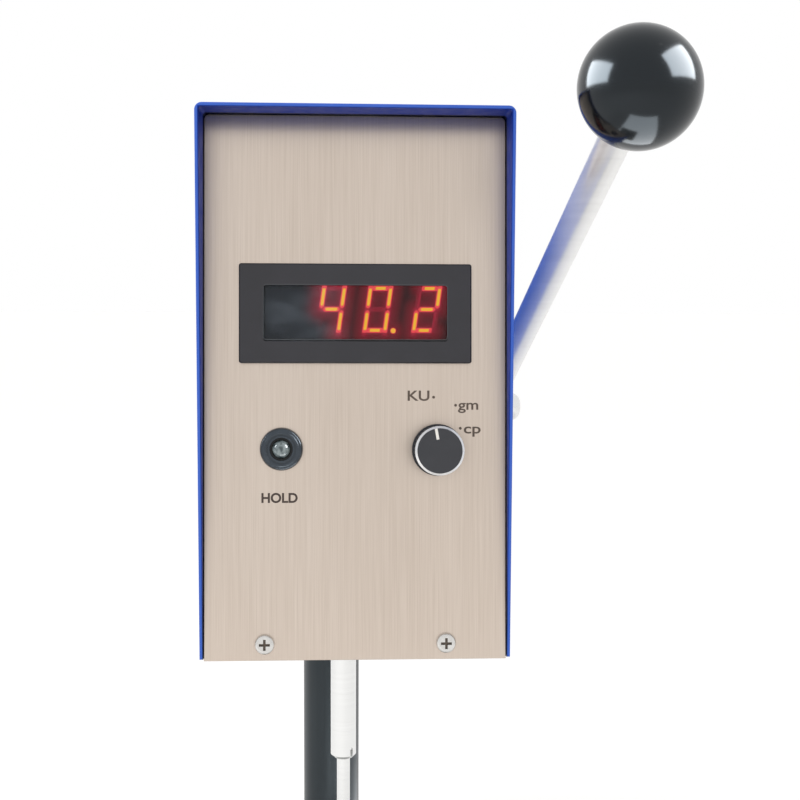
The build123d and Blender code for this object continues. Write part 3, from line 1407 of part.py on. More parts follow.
pieces = {
    "base_plate": base_plate,
    "feet": feet,
    "foot_screws": foot_screws,
    "can_seat": can_seat,
    "seat_screws": seat_screws,
    "column": column,
    "column_bolt": column_bolt,
    "column_cap": column_cap,
    "cover": cover,
    "chassis": chassis,
    "faceplate": faceplate,
    "casing_screws": casing_screws,
    "roof_buffer": roof_buffer,
    "panel_clips": panel_clips,
    "display_bezel": display_bezel,
    "display_window": display_window,
    "digit_block": digit_block,
    "hold_bush": hold_bush,
    "hold_nut": hold_nut,
    "hold_collar": hold_collar,
    "hold_lens": hold_lens,
    "hold_spring": hold_spring,
    "selector_body": selector_body,
    "selector_nut": selector_nut,
    "selector_shaft": selector_shaft,
    "selector_knob": selector_knob,
    "knob_pointer": knob_pointer,
    "slide_block": slide_block,
    "column_bushes": column_bushes,
    "chassis_screws": chassis_screws,
    "sector_gear": sector_gear,
    "gear_pin": gear_pin,
    "lever_bushes": lever_bushes,
    "lever_shaft": lever_shaft,
    "shaft_clip": shaft_clip,
    "wall_bush": wall_bush,
    "lever_hub": lever_hub,
    "lever_rod": lever_rod,
    "lever_ball": lever_ball,
    "lever_cap_nut": lever_cap_nut,
    "spindle_housing": spindle_housing,
    "spindle_bearings": spindle_bearings,
    "drive_sleeve": drive_sleeve,
    "sleeve_screw": sleeve_screw,
    "rotor_shaft": rotor_shaft,
    "rotor_paddle": rotor_paddle,
    "torque_discs": torque_discs,
    "torque_sensor": torque_sensor,
    "torque_spring": torque_spring,
    "motor_shaft": motor_shaft,
    "motor_pillars": motor_pillars,
    "motor_plate": motor_plate,
    "drive_motor": drive_motor,
    "power_module": power_module,
    "board_bracket": board_bracket,
    "circuit_boards": circuit_boards,
    "power_inlet": power_inlet,
    "inlet_pins": inlet_pins,
    "rocker_body": rocker_body,
    "power_rocker": power_rocker,
}

os.makedirs("parts", exist_ok=True)
for label, piece in pieces.items():
    piece.part.label = label
    export_step(piece.part, f"parts/{label}.step")
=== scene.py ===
import json
import math

import bpy
from mathutils import Matrix, Vector


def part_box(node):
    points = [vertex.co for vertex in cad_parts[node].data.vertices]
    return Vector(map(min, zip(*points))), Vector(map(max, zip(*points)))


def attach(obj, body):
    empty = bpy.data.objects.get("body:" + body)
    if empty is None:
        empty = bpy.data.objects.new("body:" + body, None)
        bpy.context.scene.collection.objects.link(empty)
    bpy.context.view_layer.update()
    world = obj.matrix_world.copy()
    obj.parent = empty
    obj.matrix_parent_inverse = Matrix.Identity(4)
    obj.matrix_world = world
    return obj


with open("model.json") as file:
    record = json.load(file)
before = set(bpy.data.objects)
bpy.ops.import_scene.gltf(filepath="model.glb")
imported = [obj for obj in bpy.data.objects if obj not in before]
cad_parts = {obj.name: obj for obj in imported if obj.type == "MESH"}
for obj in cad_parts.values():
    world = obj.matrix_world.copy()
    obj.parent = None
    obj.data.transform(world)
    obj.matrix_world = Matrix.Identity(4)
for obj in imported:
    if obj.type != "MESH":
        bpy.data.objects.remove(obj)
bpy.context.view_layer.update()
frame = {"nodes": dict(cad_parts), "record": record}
nodes = frame["nodes"]
MM = 0.001

# Faceplate, as the CAD places it: x from the head's middle, s up the plate, p out of it.
LEAN = math.radians(5.12)
HEAD_X, FRONT_Y, HEAD_Z = 5.0, -50.0, 242.2
BUTTON_X, BUTTON_S = -31.0, 87.6
SCREW_X, SCREW_S = 38.0, 6.0
PANEL_OUT = Vector((0.0, -math.cos(LEAN), math.sin(LEAN)))
PANEL_UP = Vector((0.0, math.sin(LEAN), math.cos(LEAN)))


def on_panel(x, s, p=0.0):
    """A point on the faceplate, in metres."""
    base = Vector((HEAD_X + x, FRONT_Y + 1.0, HEAD_Z))
    return (base + PANEL_UP * s + PANEL_OUT * p) * MM


def panel_matrix(x, s, p=0.0):
    m = Matrix((Vector((1, 0, 0)), PANEL_UP, PANEL_OUT)).transposed().to_4x4()
    m.translation = on_panel(x, s, p)
    return m


# Node helpers


def add(m, kind, **values):
    n = m.node_tree.nodes.new(kind)
    for key, value in values.items():
        if key in n.inputs:
            n.inputs[key].default_value = value
        else:
            setattr(n, key, value)
    return n


def wire(m, a, out, b, into):
    m.node_tree.links.new(a.outputs[out], b.inputs[into])


def shader(m):
    return m.node_tree.nodes["Principled BSDF"]


def material(name, color, metallic=0.0, rough=0.5, **sockets):
    m = bpy.data.materials.new(name)
    m.use_nodes = True
    b = shader(m)
    b.inputs["Base Color"].default_value = (*color, 1.0)
    b.inputs["Metallic"].default_value = metallic
    b.inputs["Roughness"].default_value = rough
    for key, value in sockets.items():
        b.inputs[key.replace("_", " ")].default_value = value
    return m


def own_coords(m):
    return add(m, "ShaderNodeTexCoord")


def panel_coords(m, x=0.0, s=0.0, p=0.0):
    """The part's own coordinates, turned so that Z points out of the faceplate at (x, s)."""
    place = panel_matrix(x, s, p)
    mapping = add(m, "ShaderNodeMapping", vector_type="TEXTURE")
    mapping.inputs["Location"].default_value = place.translation
    mapping.inputs["Rotation"].default_value = place.to_euler()
    wire(m, own_coords(m), "Object", mapping, "Vector")
    return mapping


def noise_on(m, coords, out, scale, detail=3.0, rough=0.5):
    """Noise over the given coordinates, at a scale of its own along each axis."""
    mapping = add(m, "ShaderNodeMapping")
    mapping.inputs["Scale"].default_value = scale
    tex = add(m, "ShaderNodeTexNoise")
    tex.inputs["Scale"].default_value = 1.0
    tex.inputs["Detail"].default_value = detail
    tex.inputs["Roughness"].default_value = rough
    wire(m, coords, out, mapping, "Vector")
    wire(m, mapping, "Vector", tex, "Vector")
    return tex


def noise(m, scale, detail=3.0, stretch=(1, 1, 1), rough=0.5):
    return noise_on(m, own_coords(m), "Object", [scale * v for v in stretch], detail, rough)


def ramp(m, source, out, stops):
    """Turns a factor into colours; stops are (position, (r, g, b))."""
    r = add(m, "ShaderNodeValToRGB")
    e = r.color_ramp.elements
    while len(e) < len(stops):
        e.new(0.5)
    for i, (at, color) in enumerate(stops):
        e[i].position = at
        e[i].color = (*color, 1)
    wire(m, source, out, r, "Fac")
    return r


def spread(m, source, out, a, b, lo=0.25, hi=0.75):
    r = add(m, "ShaderNodeMapRange")
    r.inputs["From Min"].default_value, r.inputs["From Max"].default_value = lo, hi
    r.inputs["To Min"].default_value, r.inputs["To Max"].default_value = a, b
    wire(m, source, out, r, "Value")
    return r


def blend(m, a, out_a, b, out_b, share):
    """Share of b mixed into a, as one value."""
    mix = add(m, "ShaderNodeMix", data_type="FLOAT")
    mix.inputs["Factor"].default_value = share
    wire(m, a, out_a, mix, "A")
    wire(m, b, out_b, mix, "B")
    return mix


def mixed_color(m, factor, out, a, b):
    """Colour a where the factor is 0, b where it is 1; each is a colour or a node's output."""
    mix = add(m, "ShaderNodeMix", data_type="RGBA")
    wire(m, factor, out, mix, "Factor")
    for socket, value in ((mix.inputs[6], a), (mix.inputs[7], b)):
        if isinstance(value, tuple) and len(value) == 3:
            socket.default_value = (*value, 1)
        else:
            m.node_tree.links.new(value, socket)
    return mix


def bump(m, source, out, height, strength=1.0):
    n = add(m, "ShaderNodeBump")
    n.inputs["Distance"].default_value = height
    n.inputs["Strength"].default_value = strength
    wire(m, source, out, n, "Height")
    wire(m, n, "Normal", shader(m), "Normal")
    return n


def shaded(name, color, metallic, rough, vary=0.06, scale=60.0, stretch=(1, 1, 1), height=0.0, fine=None,
           **sockets):
    """A material with slight colour and gloss variation, and a fine bump where height is given."""
    m = material(name, color, metallic, rough, **sockets)
    broad = noise(m, scale, 3.0, stretch)
    low = tuple(c * (1 - vary) for c in color)
    high = tuple(min(1.0, c * (1 + vary)) for c in color)
    wire(m, ramp(m, broad, "Fac", [(0.3, low), (0.7, high)]), "Color", shader(m), "Base Color")
    gloss = spread(m, broad, "Fac", max(0.02, rough * 0.85), min(1.0, rough * 1.15))
    wire(m, gloss, "Result", shader(m), "Roughness")
    if height:
        bump(m, noise(m, fine or scale * 8, 2.0, stretch), "Fac", height)
    return m


# Materials


def brushed_panel():
    """Warm brushed steel with fine upright grain and soft broad bands."""
    m = material("brushed_steel", (0.63, 0.54, 0.465), 1.0, 0.34, Anisotropic=0.42)
    coords = panel_coords(m)
    hair = noise_on(m, coords, "Vector", (3600, 26, 0), 2.0, 0.6)
    line = noise_on(m, coords, "Vector", (900, 9, 0), 3.0, 0.6)
    band = noise_on(m, coords, "Vector", (21, 4, 0), 3.0, 0.6)
    grain = blend(m, hair, "Fac", line, "Fac", 0.4)
    tone = blend(m, grain, "Result", band, "Fac", 0.25)
    colors = ramp(m, tone, "Result", [(0.36, (0.57, 0.482, 0.409)), (0.64, (0.685, 0.596, 0.521))])
    wire(m, colors, "Color", shader(m), "Base Color")
    wire(m, spread(m, grain, "Result", 0.29, 0.37), "Result", shader(m), "Roughness")
    across = add(m, "ShaderNodeCombineXYZ", X=1.0, Y=0.0, Z=0.0)
    wire(m, across, "Vector", shader(m), "Tangent")
    bump(m, grain, "Result", 0.000006, 0.35)
    return m


def powder_coat():
    """Blue coat with a fine orange peel. Inside the cover a painted shade makes it darker blue, and next to the
    faceplate a painted shadow makes it nearly black.
    """
    m = material("blue_coat", (0.058, 0.148, 0.63), 0.0, 0.5, Specular_IOR_Level=0.12)
    broad = noise(m, 28.0, 3.0)
    coat = ramp(m, broad, "Fac", [(0.3, (0.054, 0.138, 0.595)), (0.7, (0.063, 0.156, 0.65))])
    split = add(m, "ShaderNodeSeparateXYZ")
    wire(m, own_coords(m), "Object", split, "Vector")
    aside = add(m, "ShaderNodeMath", operation="SUBTRACT")
    aside.inputs[1].default_value = HEAD_X * MM
    wire(m, split, "X", aside, 0)
    width = add(m, "ShaderNodeMath", operation="ABSOLUTE")
    wire(m, aside, "Value", width, 0)
    within = spread(m, width, "Value", 1.0, 0.0, 0.0636, 0.0640)
    below = spread(m, split, "Z", 1.0, 0.0, 0.4692, 0.4696)
    inside = add(m, "ShaderNodeMath", operation="MULTIPLY")
    wire(m, within, "Result", inside, 0)
    wire(m, below, "Result", inside, 1)
    depth = add(m, "ShaderNodeSeparateXYZ")
    wire(m, panel_coords(m), "Vector", depth, "Vector")
    # Painted shade: inside the cover the coat is coloured darker blue. It turns nearly black as a painted
    # shadow up to 2 to 4 mm in front of the faceplate.
    gap_shadow = spread(m, depth, "Z", 0.0, 1.0, 0.0022, 0.0042)
    inner_shade = mixed_color(m, gap_shadow, "Result", (0.001, 0.004, 0.03), (0.005, 0.034, 0.31))
    tone = mixed_color(m, inside, "Value", coat.outputs["Color"], inner_shade.outputs[2])
    m.node_tree.links.new(tone.outputs[2], shader(m).inputs["Base Color"])
    wire(m, spread(m, noise(m, 160.0, 2.0), "Fac", 0.46, 0.58), "Result", shader(m), "Roughness")
    bump(m, noise(m, 1500.0, 3.0), "Fac", 0.00003)
    return m


def spun_knob():
    """Dark knob: spun face, bright turned bevel, ribbed side."""
    m = material("spun_knob", (0.06, 0.06, 0.065), 1.0, 0.5, Anisotropic=0.92,
                 Anisotropic_Rotation=0.25)
    local = panel_coords(m, 34.4, 87.2, 14.0)
    split = add(m, "ShaderNodeSeparateXYZ")
    wire(m, local, "Vector", split, "Vector")
    flat = add(m, "ShaderNodeCombineXYZ")
    wire(m, split, "X", flat, "X")
    wire(m, split, "Y", flat, "Y")
    radius = add(m, "ShaderNodeVectorMath", operation="LENGTH")
    wire(m, flat, "Vector", radius, "Vector")
    ring = spread(m, radius, "Value", 0.0, 1.0, 0.00926, 0.00934)
    front = spread(m, split, "Z", 0.0, 1.0, -0.00094, -0.00084)
    bevel = add(m, "ShaderNodeMath", operation="MULTIPLY")
    wire(m, ring, "Result", bevel, 0)
    wire(m, front, "Result", bevel, 1)
    turned = noise_on(m, radius, "Value", (9000, 0, 0), 2.0, 0.6)
    face = ramp(m, turned, "Fac", [(0.3, (0.062, 0.063, 0.069)), (0.7, (0.108, 0.11, 0.12))])
    tone = mixed_color(m, bevel, "Value", face.outputs["Color"], (0.9, 0.91, 0.92))
    m.node_tree.links.new(tone.outputs[2], shader(m).inputs["Base Color"])
    wire(m, spread(m, bevel, "Value", 0.5, 0.3, 0.0, 1.0), "Result", shader(m), "Roughness")
    around = add(m, "ShaderNodeTangent", direction_type="RADIAL", axis="Y")
    wire(m, around, "Tangent", shader(m), "Tangent")
    bump(m, turned, "Fac", 0.000004, 0.5)
    return m


def dark_column():
    """Blackened ground column: faint upright drawing marks, cool tone."""
    m = material("blackened_column", (0.02, 0.026, 0.03), 0.0, 0.33, Specular_IOR_Level=0.38,
                 Specular_Tint=(0.84, 0.94, 1.0, 1.0))
    draw = noise(m, 260.0, 3.0, (1, 1, 0.02))
    cloud = noise(m, 22.0, 3.0, (1, 1, 0.5))
    tone = blend(m, draw, "Fac", cloud, "Fac", 0.5)
    colors = ramp(m, tone, "Result", [(0.32, (0.010, 0.014, 0.017)), (0.68, (0.021, 0.027, 0.032))])
    wire(m, colors, "Color", shader(m), "Base Color")
    wire(m, spread(m, tone, "Result", 0.27, 0.42), "Result", shader(m), "Roughness")
    bump(m, draw, "Fac", 0.000008, 0.4)
    return m


def ground_steel(name, color, rough, marks=700.0, metallic=1.0):
    """Bright turned steel with faint rings around it."""
    m = material(name, color, metallic, rough)
    rings = noise(m, marks, 2.0, (0.02, 0.02, 1.0))
    cloud = noise(m, 45.0, 2.0)
    tone = blend(m, rings, "Fac", cloud, "Fac", 0.4)
    low, high = tuple(c * 0.95 for c in color), tuple(min(1.0, c * 1.05) for c in color)
    wire(m, ramp(m, tone, "Result", [(0.3, low), (0.7, high)]), "Color", shader(m), "Base Color")
    wire(m, spread(m, tone, "Result", rough * 0.8, rough * 1.25), "Result", shader(m), "Roughness")
    bump(m, rings, "Fac", 0.000002, 0.4)
    return m


def clear_lens():
    """Grey cap of the button, darker and cloudy inside."""
    m = material("grey_lens", (0.14, 0.17, 0.18), 0.0, 0.08, Coat_Weight=0.4, Coat_Roughness=0.03)
    cloud = noise(m, 420.0, 2.0)
    colors = ramp(m, cloud, "Fac", [(0.38, (0.05, 0.075, 0.085)), (0.6, (0.27, 0.33, 0.35))])
    wire(m, colors, "Color", shader(m), "Base Color")
    wire(m, spread(m, cloud, "Fac", 0.05, 0.12), "Result", shader(m), "Roughness")
    return m


def smoked_window():
    """Thin smoked sheet, with a painted reflection, faint and cloudy, towards the left."""
    m = material("smoked_window", (0.016, 0.019, 0.025), 0.0, 0.05, Alpha=0.4,
                 Specular_IOR_Level=0.35)
    m.surface_render_method = "BLENDED"
    streak = noise_on(m, panel_coords(m, -12.0, 140.0), "Vector", (55, 110, 0), 2.0, 0.5)
    # Painted reflection: the left part of the window gets a paler cloudy colour, and the right part stays dark.
    painted_reflection = ramp(m, streak, "Fac", [(0.4, (0.026, 0.036, 0.05)), (0.68, (0.085, 0.107, 0.135))])
    split = add(m, "ShaderNodeSeparateXYZ")
    wire(m, panel_coords(m), "Vector", split, "Vector")
    reflection_free = spread(m, split, "X", 0.0, 1.0, -0.016, 0.0)
    tone = mixed_color(m, reflection_free, "Result", painted_reflection.outputs["Color"], (0.003, 0.003, 0.004))
    m.node_tree.links.new(tone.outputs[2], shader(m).inputs["Base Color"])
    wire(m, spread(m, streak, "Fac", 0.04, 0.09), "Result", shader(m), "Roughness")
    return m


def screw_steel():
    """Plated pan heads, with painted shade down in the cross of those on the faceplate."""
    m = material("screw_steel", (0.66, 0.65, 0.63), 1.0, 0.28)
    cloud = noise(m, 500.0, 3.0)
    plated = ramp(m, cloud, "Fac", [(0.3, (0.62, 0.61, 0.59)), (0.7, (0.7, 0.69, 0.67))])
    split = add(m, "ShaderNodeSeparateXYZ")
    wire(m, panel_coords(m, 0.0, SCREW_S), "Vector", split, "Vector")
    side = add(m, "ShaderNodeMath", operation="ABSOLUTE")
    wire(m, split, "X", side, 0)
    aside = add(m, "ShaderNodeMath", operation="SUBTRACT")
    aside.inputs[1].default_value = SCREW_X * MM
    wire(m, side, "Value", aside, 0)
    offset = add(m, "ShaderNodeCombineXYZ")
    wire(m, aside, "Value", offset, "X")
    wire(m, split, "Y", offset, "Y")
    radius = add(m, "ShaderNodeVectorMath", operation="LENGTH")
    wire(m, offset, "Vector", radius, "Vector")
    # Painted shade: the recess of the cross on the two faceplate screws is coloured dark brown.
    near = spread(m, radius, "Value", 1.0, 0.0, 0.0024, 0.0026)
    deep = spread(m, split, "Z", 1.0, 0.0, 0.0018, 0.00205)
    cross = add(m, "ShaderNodeMath", operation="MULTIPLY")
    wire(m, near, "Result", cross, 0)
    wire(m, deep, "Result", cross, 1)
    tone = mixed_color(m, cross, "Value", plated.outputs["Color"], (0.11, 0.09, 0.075))
    m.node_tree.links.new(tone.outputs[2], shader(m).inputs["Base Color"])
    wire(m, spread(m, cloud, "Fac", 0.24, 0.34), "Result", shader(m), "Roughness")
    bump(m, noise(m, 3000.0, 2.0), "Fac", 0.00001)
    return m


def moulded_bush():
    """Glossy black moulded ring, turned with fine rings around the button."""
    m = material("moulded_bush", (0.014, 0.019, 0.027), 0.0, 0.2, Specular_IOR_Level=0.7,
                 Specular_Tint=(0.8, 0.9, 1.0, 1.0))
    split = add(m, "ShaderNodeSeparateXYZ")
    wire(m, panel_coords(m, BUTTON_X, BUTTON_S), "Vector", split, "Vector")
    flat = add(m, "ShaderNodeCombineXYZ")
    wire(m, split, "X", flat, "X")
    wire(m, split, "Y", flat, "Y")
    radius = add(m, "ShaderNodeVectorMath", operation="LENGTH")
    wire(m, flat, "Vector", radius, "Vector")
    turns = add(m, "ShaderNodeMath", operation="MULTIPLY")
    turns.inputs[1].default_value = 2 * math.pi / 0.0016
    wire(m, radius, "Value", turns, 0)
    wave = add(m, "ShaderNodeMath", operation="SINE")
    wire(m, turns, "Value", wave, 0)
    cloud = noise(m, 300.0, 2.0)
    wire(m, ramp(m, cloud, "Fac", [(0.3, (0.011, 0.015, 0.022)), (0.7, (0.02, 0.027, 0.037))]), "Color",
         shader(m), "Base Color")
    wire(m, spread(m, cloud, "Fac", 0.16, 0.24), "Result", shader(m), "Roughness")
    bump(m, wave, "Value", 0.00009, 1.0)
    return m


mats = {
    "brushed": brushed_panel(),
    "blue_coat": powder_coat(),
    "base_coat": shaded("grey_coat", (0.5, 0.51, 0.5), 0.0, 0.5, 0.05, 25.0, height=0.00004, fine=1100.0),
    "zinc_sheet": shaded("zinc_sheet", (0.5, 0.51, 0.52), 1.0, 0.38, 0.07, 110.0, height=0.00001),
    "screw_steel": screw_steel(),
    "dark_steel": dark_column(),
    "polished": ground_steel("polished_steel", (0.76, 0.765, 0.76), 0.17),
    "gear_steel": shaded("machined_steel", (0.42, 0.42, 0.42), 1.0, 0.32, 0.1, 150.0, height=0.00001),
    "bronze": shaded("bronze", (0.5, 0.31, 0.13), 1.0, 0.38, 0.12, 200.0, height=0.00001),
    "cast_alloy": shaded("machined_alloy", (0.52, 0.53, 0.54), 1.0, 0.42, 0.08, 120.0, height=0.00002),
    "alloy": shaded("turned_alloy", (0.6, 0.6, 0.61), 1.0, 0.3, 0.06, 140.0, height=0.00001),
    "black_plastic": shaded("satin_black_plastic", (0.022, 0.022, 0.028), 0.0, 0.42, 0.12, 90.0, height=0.00002,
                            fine=1500.0),
    "gloss_black": shaded("polished_black", (0.002, 0.0028, 0.004), 0.0, 0.15, 0.1, 60.0,
                          Specular_IOR_Level=0.42, Specular_Tint=(0.82, 0.92, 1.0, 1.0)),
    "digit_face": shaded("display_face", (0.012, 0.011, 0.013), 0.0, 0.35, 0.1, 90.0),
    "white_fill": shaded("white_fill", (0.85, 0.85, 0.83), 0.0, 0.45, 0.04, 300.0),
    "rubber": shaded("moulded_rubber", (0.025, 0.025, 0.026), 0.0, 0.7, 0.15, 60.0, height=0.00003, fine=900.0),
    "board": shaded("circuit_board", (0.02, 0.16, 0.06), 0.0, 0.35, 0.2, 300.0),
    "motor_case": shaded("motor_case", (0.03, 0.03, 0.034), 0.2, 0.42, 0.12, 80.0, height=0.00002),
    "anodised": spun_knob(),
    "grey_lens": clear_lens(),
    "smoked_window": smoked_window(),
}
own_mats = {
    "lever_rod": ground_steel("rod_steel", (0.9, 0.9, 0.89), 0.34, metallic=0.5),
    "hold_bush": moulded_bush(),
    "hold_collar": shaded("dark_collar", (0.003, 0.004, 0.005), 0.0, 0.25, 0.2, 300.0, Specular_IOR_Level=0.3),
}
record_slots = {s["node"]: s["material_slot"] for s in frame["record"]["subparts"]}
for name, obj in nodes.items():
    obj.data.materials.clear()
    obj.data.materials.append(own_mats.get(name, mats[record_slots[name]]))


# Display


def mesh_object(name, verts, faces, mat, body, matrix=None):
    mesh = bpy.data.meshes.new(name)
    mesh.from_pydata([tuple(v) for v in verts], [], faces)
    mesh.update()
    obj = bpy.data.objects.new(name, mesh)
    bpy.context.scene.collection.objects.link(obj)
    mesh.materials.append(mat)
    if matrix is not None:
        obj.matrix_world = matrix
    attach(obj, body)
    return obj


def prism(outline, z0, z1):
    """Vertices and faces of a flat outline raised from z0 to z1."""
    n = len(outline)
    verts = [(x, y, z0) for x, y in outline] + [(x, y, z1) for x, y in outline]
    faces = [list(range(n))[::-1], list(range(n, 2 * n))]
    faces += [[i, (i + 1) % n, n + (i + 1) % n, n + i] for i in range(n)]
    return verts, faces


def joined(parts):
    verts, faces = [], []
    for v, f in parts:
        off = len(verts)
        verts += v
        faces += [[i + off for i in face] for face in f]
    return verts, faces


def disc(cx, cy, radius, steps=20):
    return [(cx + radius * math.cos(2 * math.pi * i / steps), cy + radius * math.sin(2 * math.pi * i / steps))
            for i in range(steps)]


DIGIT_H, DIGIT_HALF, STROKE = 19.7, 4.25, 2.05
SLANT = math.tan(math.radians(8.0))
DIGIT_X = (-29.9, -10.16, 9.3, 29.95)
DOT_Y, DOT_RADIUS = -9.0, 1.25
BARS = {
    "a": ((-3.25, 8.82), (3.25, 8.82)),
    "d": ((-3.25, -8.82), (3.25, -8.82)),
    "g": ((-3.7, 0.0), (3.7, 0.0)),
    "b": ((DIGIT_HALF, 0.35), (DIGIT_HALF, DIGIT_H / 2)),
    "f": ((-DIGIT_HALF, 0.35), (-DIGIT_HALF, DIGIT_H / 2)),
    "c": ((DIGIT_HALF, -DIGIT_H / 2), (DIGIT_HALF, -0.35)),
    "e": ((-DIGIT_HALF, -DIGIT_H / 2), (-DIGIT_HALF, -0.35)),
}
TIP = {"a": (0.35, 0.35), "d": (0.35, 0.35), "g": (0.9, 0.9), "b": (0.8, 0.35), "f": (0.8, 0.35),
       "c": (0.35, 0.8), "e": (0.35, 0.8)}


def bar(kind, cx, inset=0.0, ends=0.0):
    """Outline of one bar of a digit, drawn in by inset all round and by ends more at its ends."""
    (x0, y0), (x1, y1) = BARS[kind]
    along = Vector((x1 - x0, y1 - y0)).normalized()
    side = Vector((-along.y, along.x))
    u = STROKE / 2 - inset
    a = Vector((x0, y0)) + along * (inset + ends)
    b = Vector((x1, y1)) - along * (inset + ends)
    t0, t1 = (t * u / (STROKE / 2) for t in TIP[kind])
    flat0, flat1 = u * (1 - min(1.0, t0 / (STROKE / 2))), u * (1 - min(1.0, t1 / (STROKE / 2)))
    pts = [a + side * flat0, a - side * flat0, a + along * t0 - side * u, b - along * t1 - side * u,
           b - side * flat1, b + side * flat1, b - along * t1 + side * u, a + along * t0 + side * u]
    return [(p.x + p.y * SLANT + cx, p.y) for p in pts]


LIT = {"4": "fgbc", "0": "abcdef", "2": "abged", " ": ""}
rims, cores, unlit, lit_lines = [], [], [], []
for char, cx in zip(" 402", DIGIT_X):
    for kind in "abcdefg":
        if kind in LIT[char]:
            rims.append(prism(bar(kind, cx), 0.0, 0.05))
            cores.append(prism(bar(kind, cx, 0.42, 0.75), 0.0, 0.08))
            (x0, y0), (x1, y1) = BARS[kind]
            lit_lines.append((x0 + y0 * SLANT + cx, y0, x1 + y1 * SLANT + cx, y1))
        else:
            unlit.append(prism(bar(kind, cx), 0.0, 0.04))
    place = (cx + 6.45, DOT_Y)
    if char == "0":
        rims.append(prism(disc(*place, DOT_RADIUS), 0.0, 0.05))
        cores.append(prism(disc(*place, DOT_RADIUS - 0.25), 0.0, 0.08))
        lit_lines.append((*place, *place))
    else:
        unlit.append(prism(disc(*place, DOT_RADIUS), 0.0, 0.04))
scale = Matrix.Diagonal((MM, MM, MM, 1))
DIGIT_S = 146.25
rim_mat = shaded("lit_rim", (0.4, 0.02, 0.03), 0.0, 0.5, 0.1, 400.0, Emission_Color=(1.0, 0.085, 0.1, 1.0),
                 Emission_Strength=1.9)
core_mat = shaded("lit_core", (0.5, 0.2, 0.02), 0.0, 0.5, 0.1, 400.0, Emission_Color=(1.0, 0.56, 0.04, 1.0),
                  Emission_Strength=2.0)


def light_reach(x, y):
    """Distance from a place on the display to the edge of the nearest lit bar, as a share of 10 mm."""
    best = 99.0
    for ax, ay, bx, by in lit_lines:
        dx, dy = bx - ax, by - ay
        length = dx * dx + dy * dy
        t = max(0.0, min(1.0, ((x - ax) * dx + (y - ay) * dy) / length)) if length else 0.0
        best = min(best, math.hypot(x - ax - dx * t, y - ay - dy * t))
    return min(1.0, max(0.0, best - STROKE / 2) / 10.0)


def glow_material(name, low, high):
    """Dark display plastic in the red light of the lit bars, by the reach stored on its points."""
    m = material(name, low, 0.0, 0.4, Emission_Strength=1.0)
    reach = add(m, "ShaderNodeAttribute", attribute_name="reach")
    glow = ramp(m, reach, "Fac", [(0.0, (0.8, 0.015, 0.07)), (0.04, (0.5, 0.009, 0.04)),
                                  (0.12, (0.36, 0.006, 0.025)), (0.3, (0.24, 0.004, 0.014)),
                                  (0.45, (0.12, 0.003, 0.008)), (0.62, (0.035, 0.002, 0.004)),
                                  (0.85, (0.0, 0.0, 0.0))])
    wire(m, glow, "Color", shader(m), "Emission Color")
    wire(m, ramp(m, noise(m, 300.0, 2.0), "Fac", [(0.3, low), (0.7, high)]), "Color", shader(m), "Base Color")
    return m


def lit_piece(name, verts, faces, mat, place):
    """A piece of the display whose points carry their distance from the light."""
    obj = mesh_object(name, verts, faces, mat, "head", place @ scale)
    attr = obj.data.attributes.new("reach", "FLOAT", "POINT")
    attr.data.foreach_set("value", [light_reach(v[0], v[1]) for v in verts])
    return obj


dark_mat = glow_material("unlit_bar", (0.02, 0.018, 0.021), (0.026, 0.023, 0.027))
mesh_object("lit_rims", *joined(rims), rim_mat, "head", panel_matrix(0, DIGIT_S, -0.14) @ scale)
mesh_object("lit_cores", *joined(cores), core_mat, "head", panel_matrix(0, DIGIT_S, -0.13) @ scale)
lit_piece("unlit_bars", *joined(unlit), dark_mat, panel_matrix(0, DIGIT_S, -0.15))


def glow_sheet():
    """Thin sheet under the bars that spreads their red light."""
    half_w, half_h, step = 39.8, 12.6, 0.45
    nx, ny = int(2 * half_w / step) + 1, int(2 * half_h / step) + 1
    verts = [(-half_w + 2 * half_w * i / (nx - 1), -half_h + 2 * half_h * j / (ny - 1), 0.0)
             for j in range(ny) for i in range(nx)]
    faces = [[j * nx + i, j * nx + i + 1, (j + 1) * nx + i + 1, (j + 1) * nx + i]
             for j in range(ny - 1) for i in range(nx - 1)]
    m = glow_material("display_glow", (0.008, 0.007, 0.009), (0.014, 0.012, 0.015))
    return lit_piece("display_glow", verts, faces, m, panel_matrix(0, DIGIT_S, -0.17))


glow_sheet()


def window_lip():
    """Thin moulded lip around the window's opening."""
    half_w, half_h, corner, inset = 77.3 / 2, 23.4 / 2, 1.5, 0.16
    pts = []
    for sx, sy, start in ((1, 1, 0), (-1, 1, 90), (-1, -1, 180), (1, -1, 270)):
        for k in range(7):
            a = math.radians(start + 15 * k)
            r = corner - inset
            pts.append((sx * (half_w - corner) + r * math.cos(a), sy * (half_h - corner) + r * math.sin(a)))
    verts, faces, ring, tube = [], [], len(pts), 8
    for i, (x, y) in enumerate(pts):
        px, py = pts[i - 1]
        qx, qy = pts[(i + 1) % ring]
        out = Vector((qy - py, px - qx)).normalized()
        for k in range(tube):
            a = 2 * math.pi * k / tube
            verts.append((x + out.x * 0.2 * math.cos(a), y + out.y * 0.2 * math.cos(a), 0.2 * math.sin(a)))
    for i in range(ring):
        for k in range(tube):
            j = (i + 1) % ring
            faces.append([i * tube + k, j * tube + k, j * tube + (k + 1) % tube, i * tube + (k + 1) % tube])
    lip = shaded("lip_plastic", (0.05, 0.056, 0.063), 0.0, 0.25, 0.2, 300.0, Specular_IOR_Level=0.7)
    obj = mesh_object("window_lip", verts, faces, lip, "head", panel_matrix(0, 144.8, 2.75) @ scale)
    for face in obj.data.polygons:
        face.use_smooth = True
    return obj


window_lip()

# Printed words and marks on the faceplate
ink = shaded("dark_ink", (0.05, 0.034, 0.028), 0.0, 0.5, 0.1, 400.0)
soft_ink = shaded("worn_ink", (0.10, 0.075, 0.06), 0.0, 0.5, 0.12, 400.0)


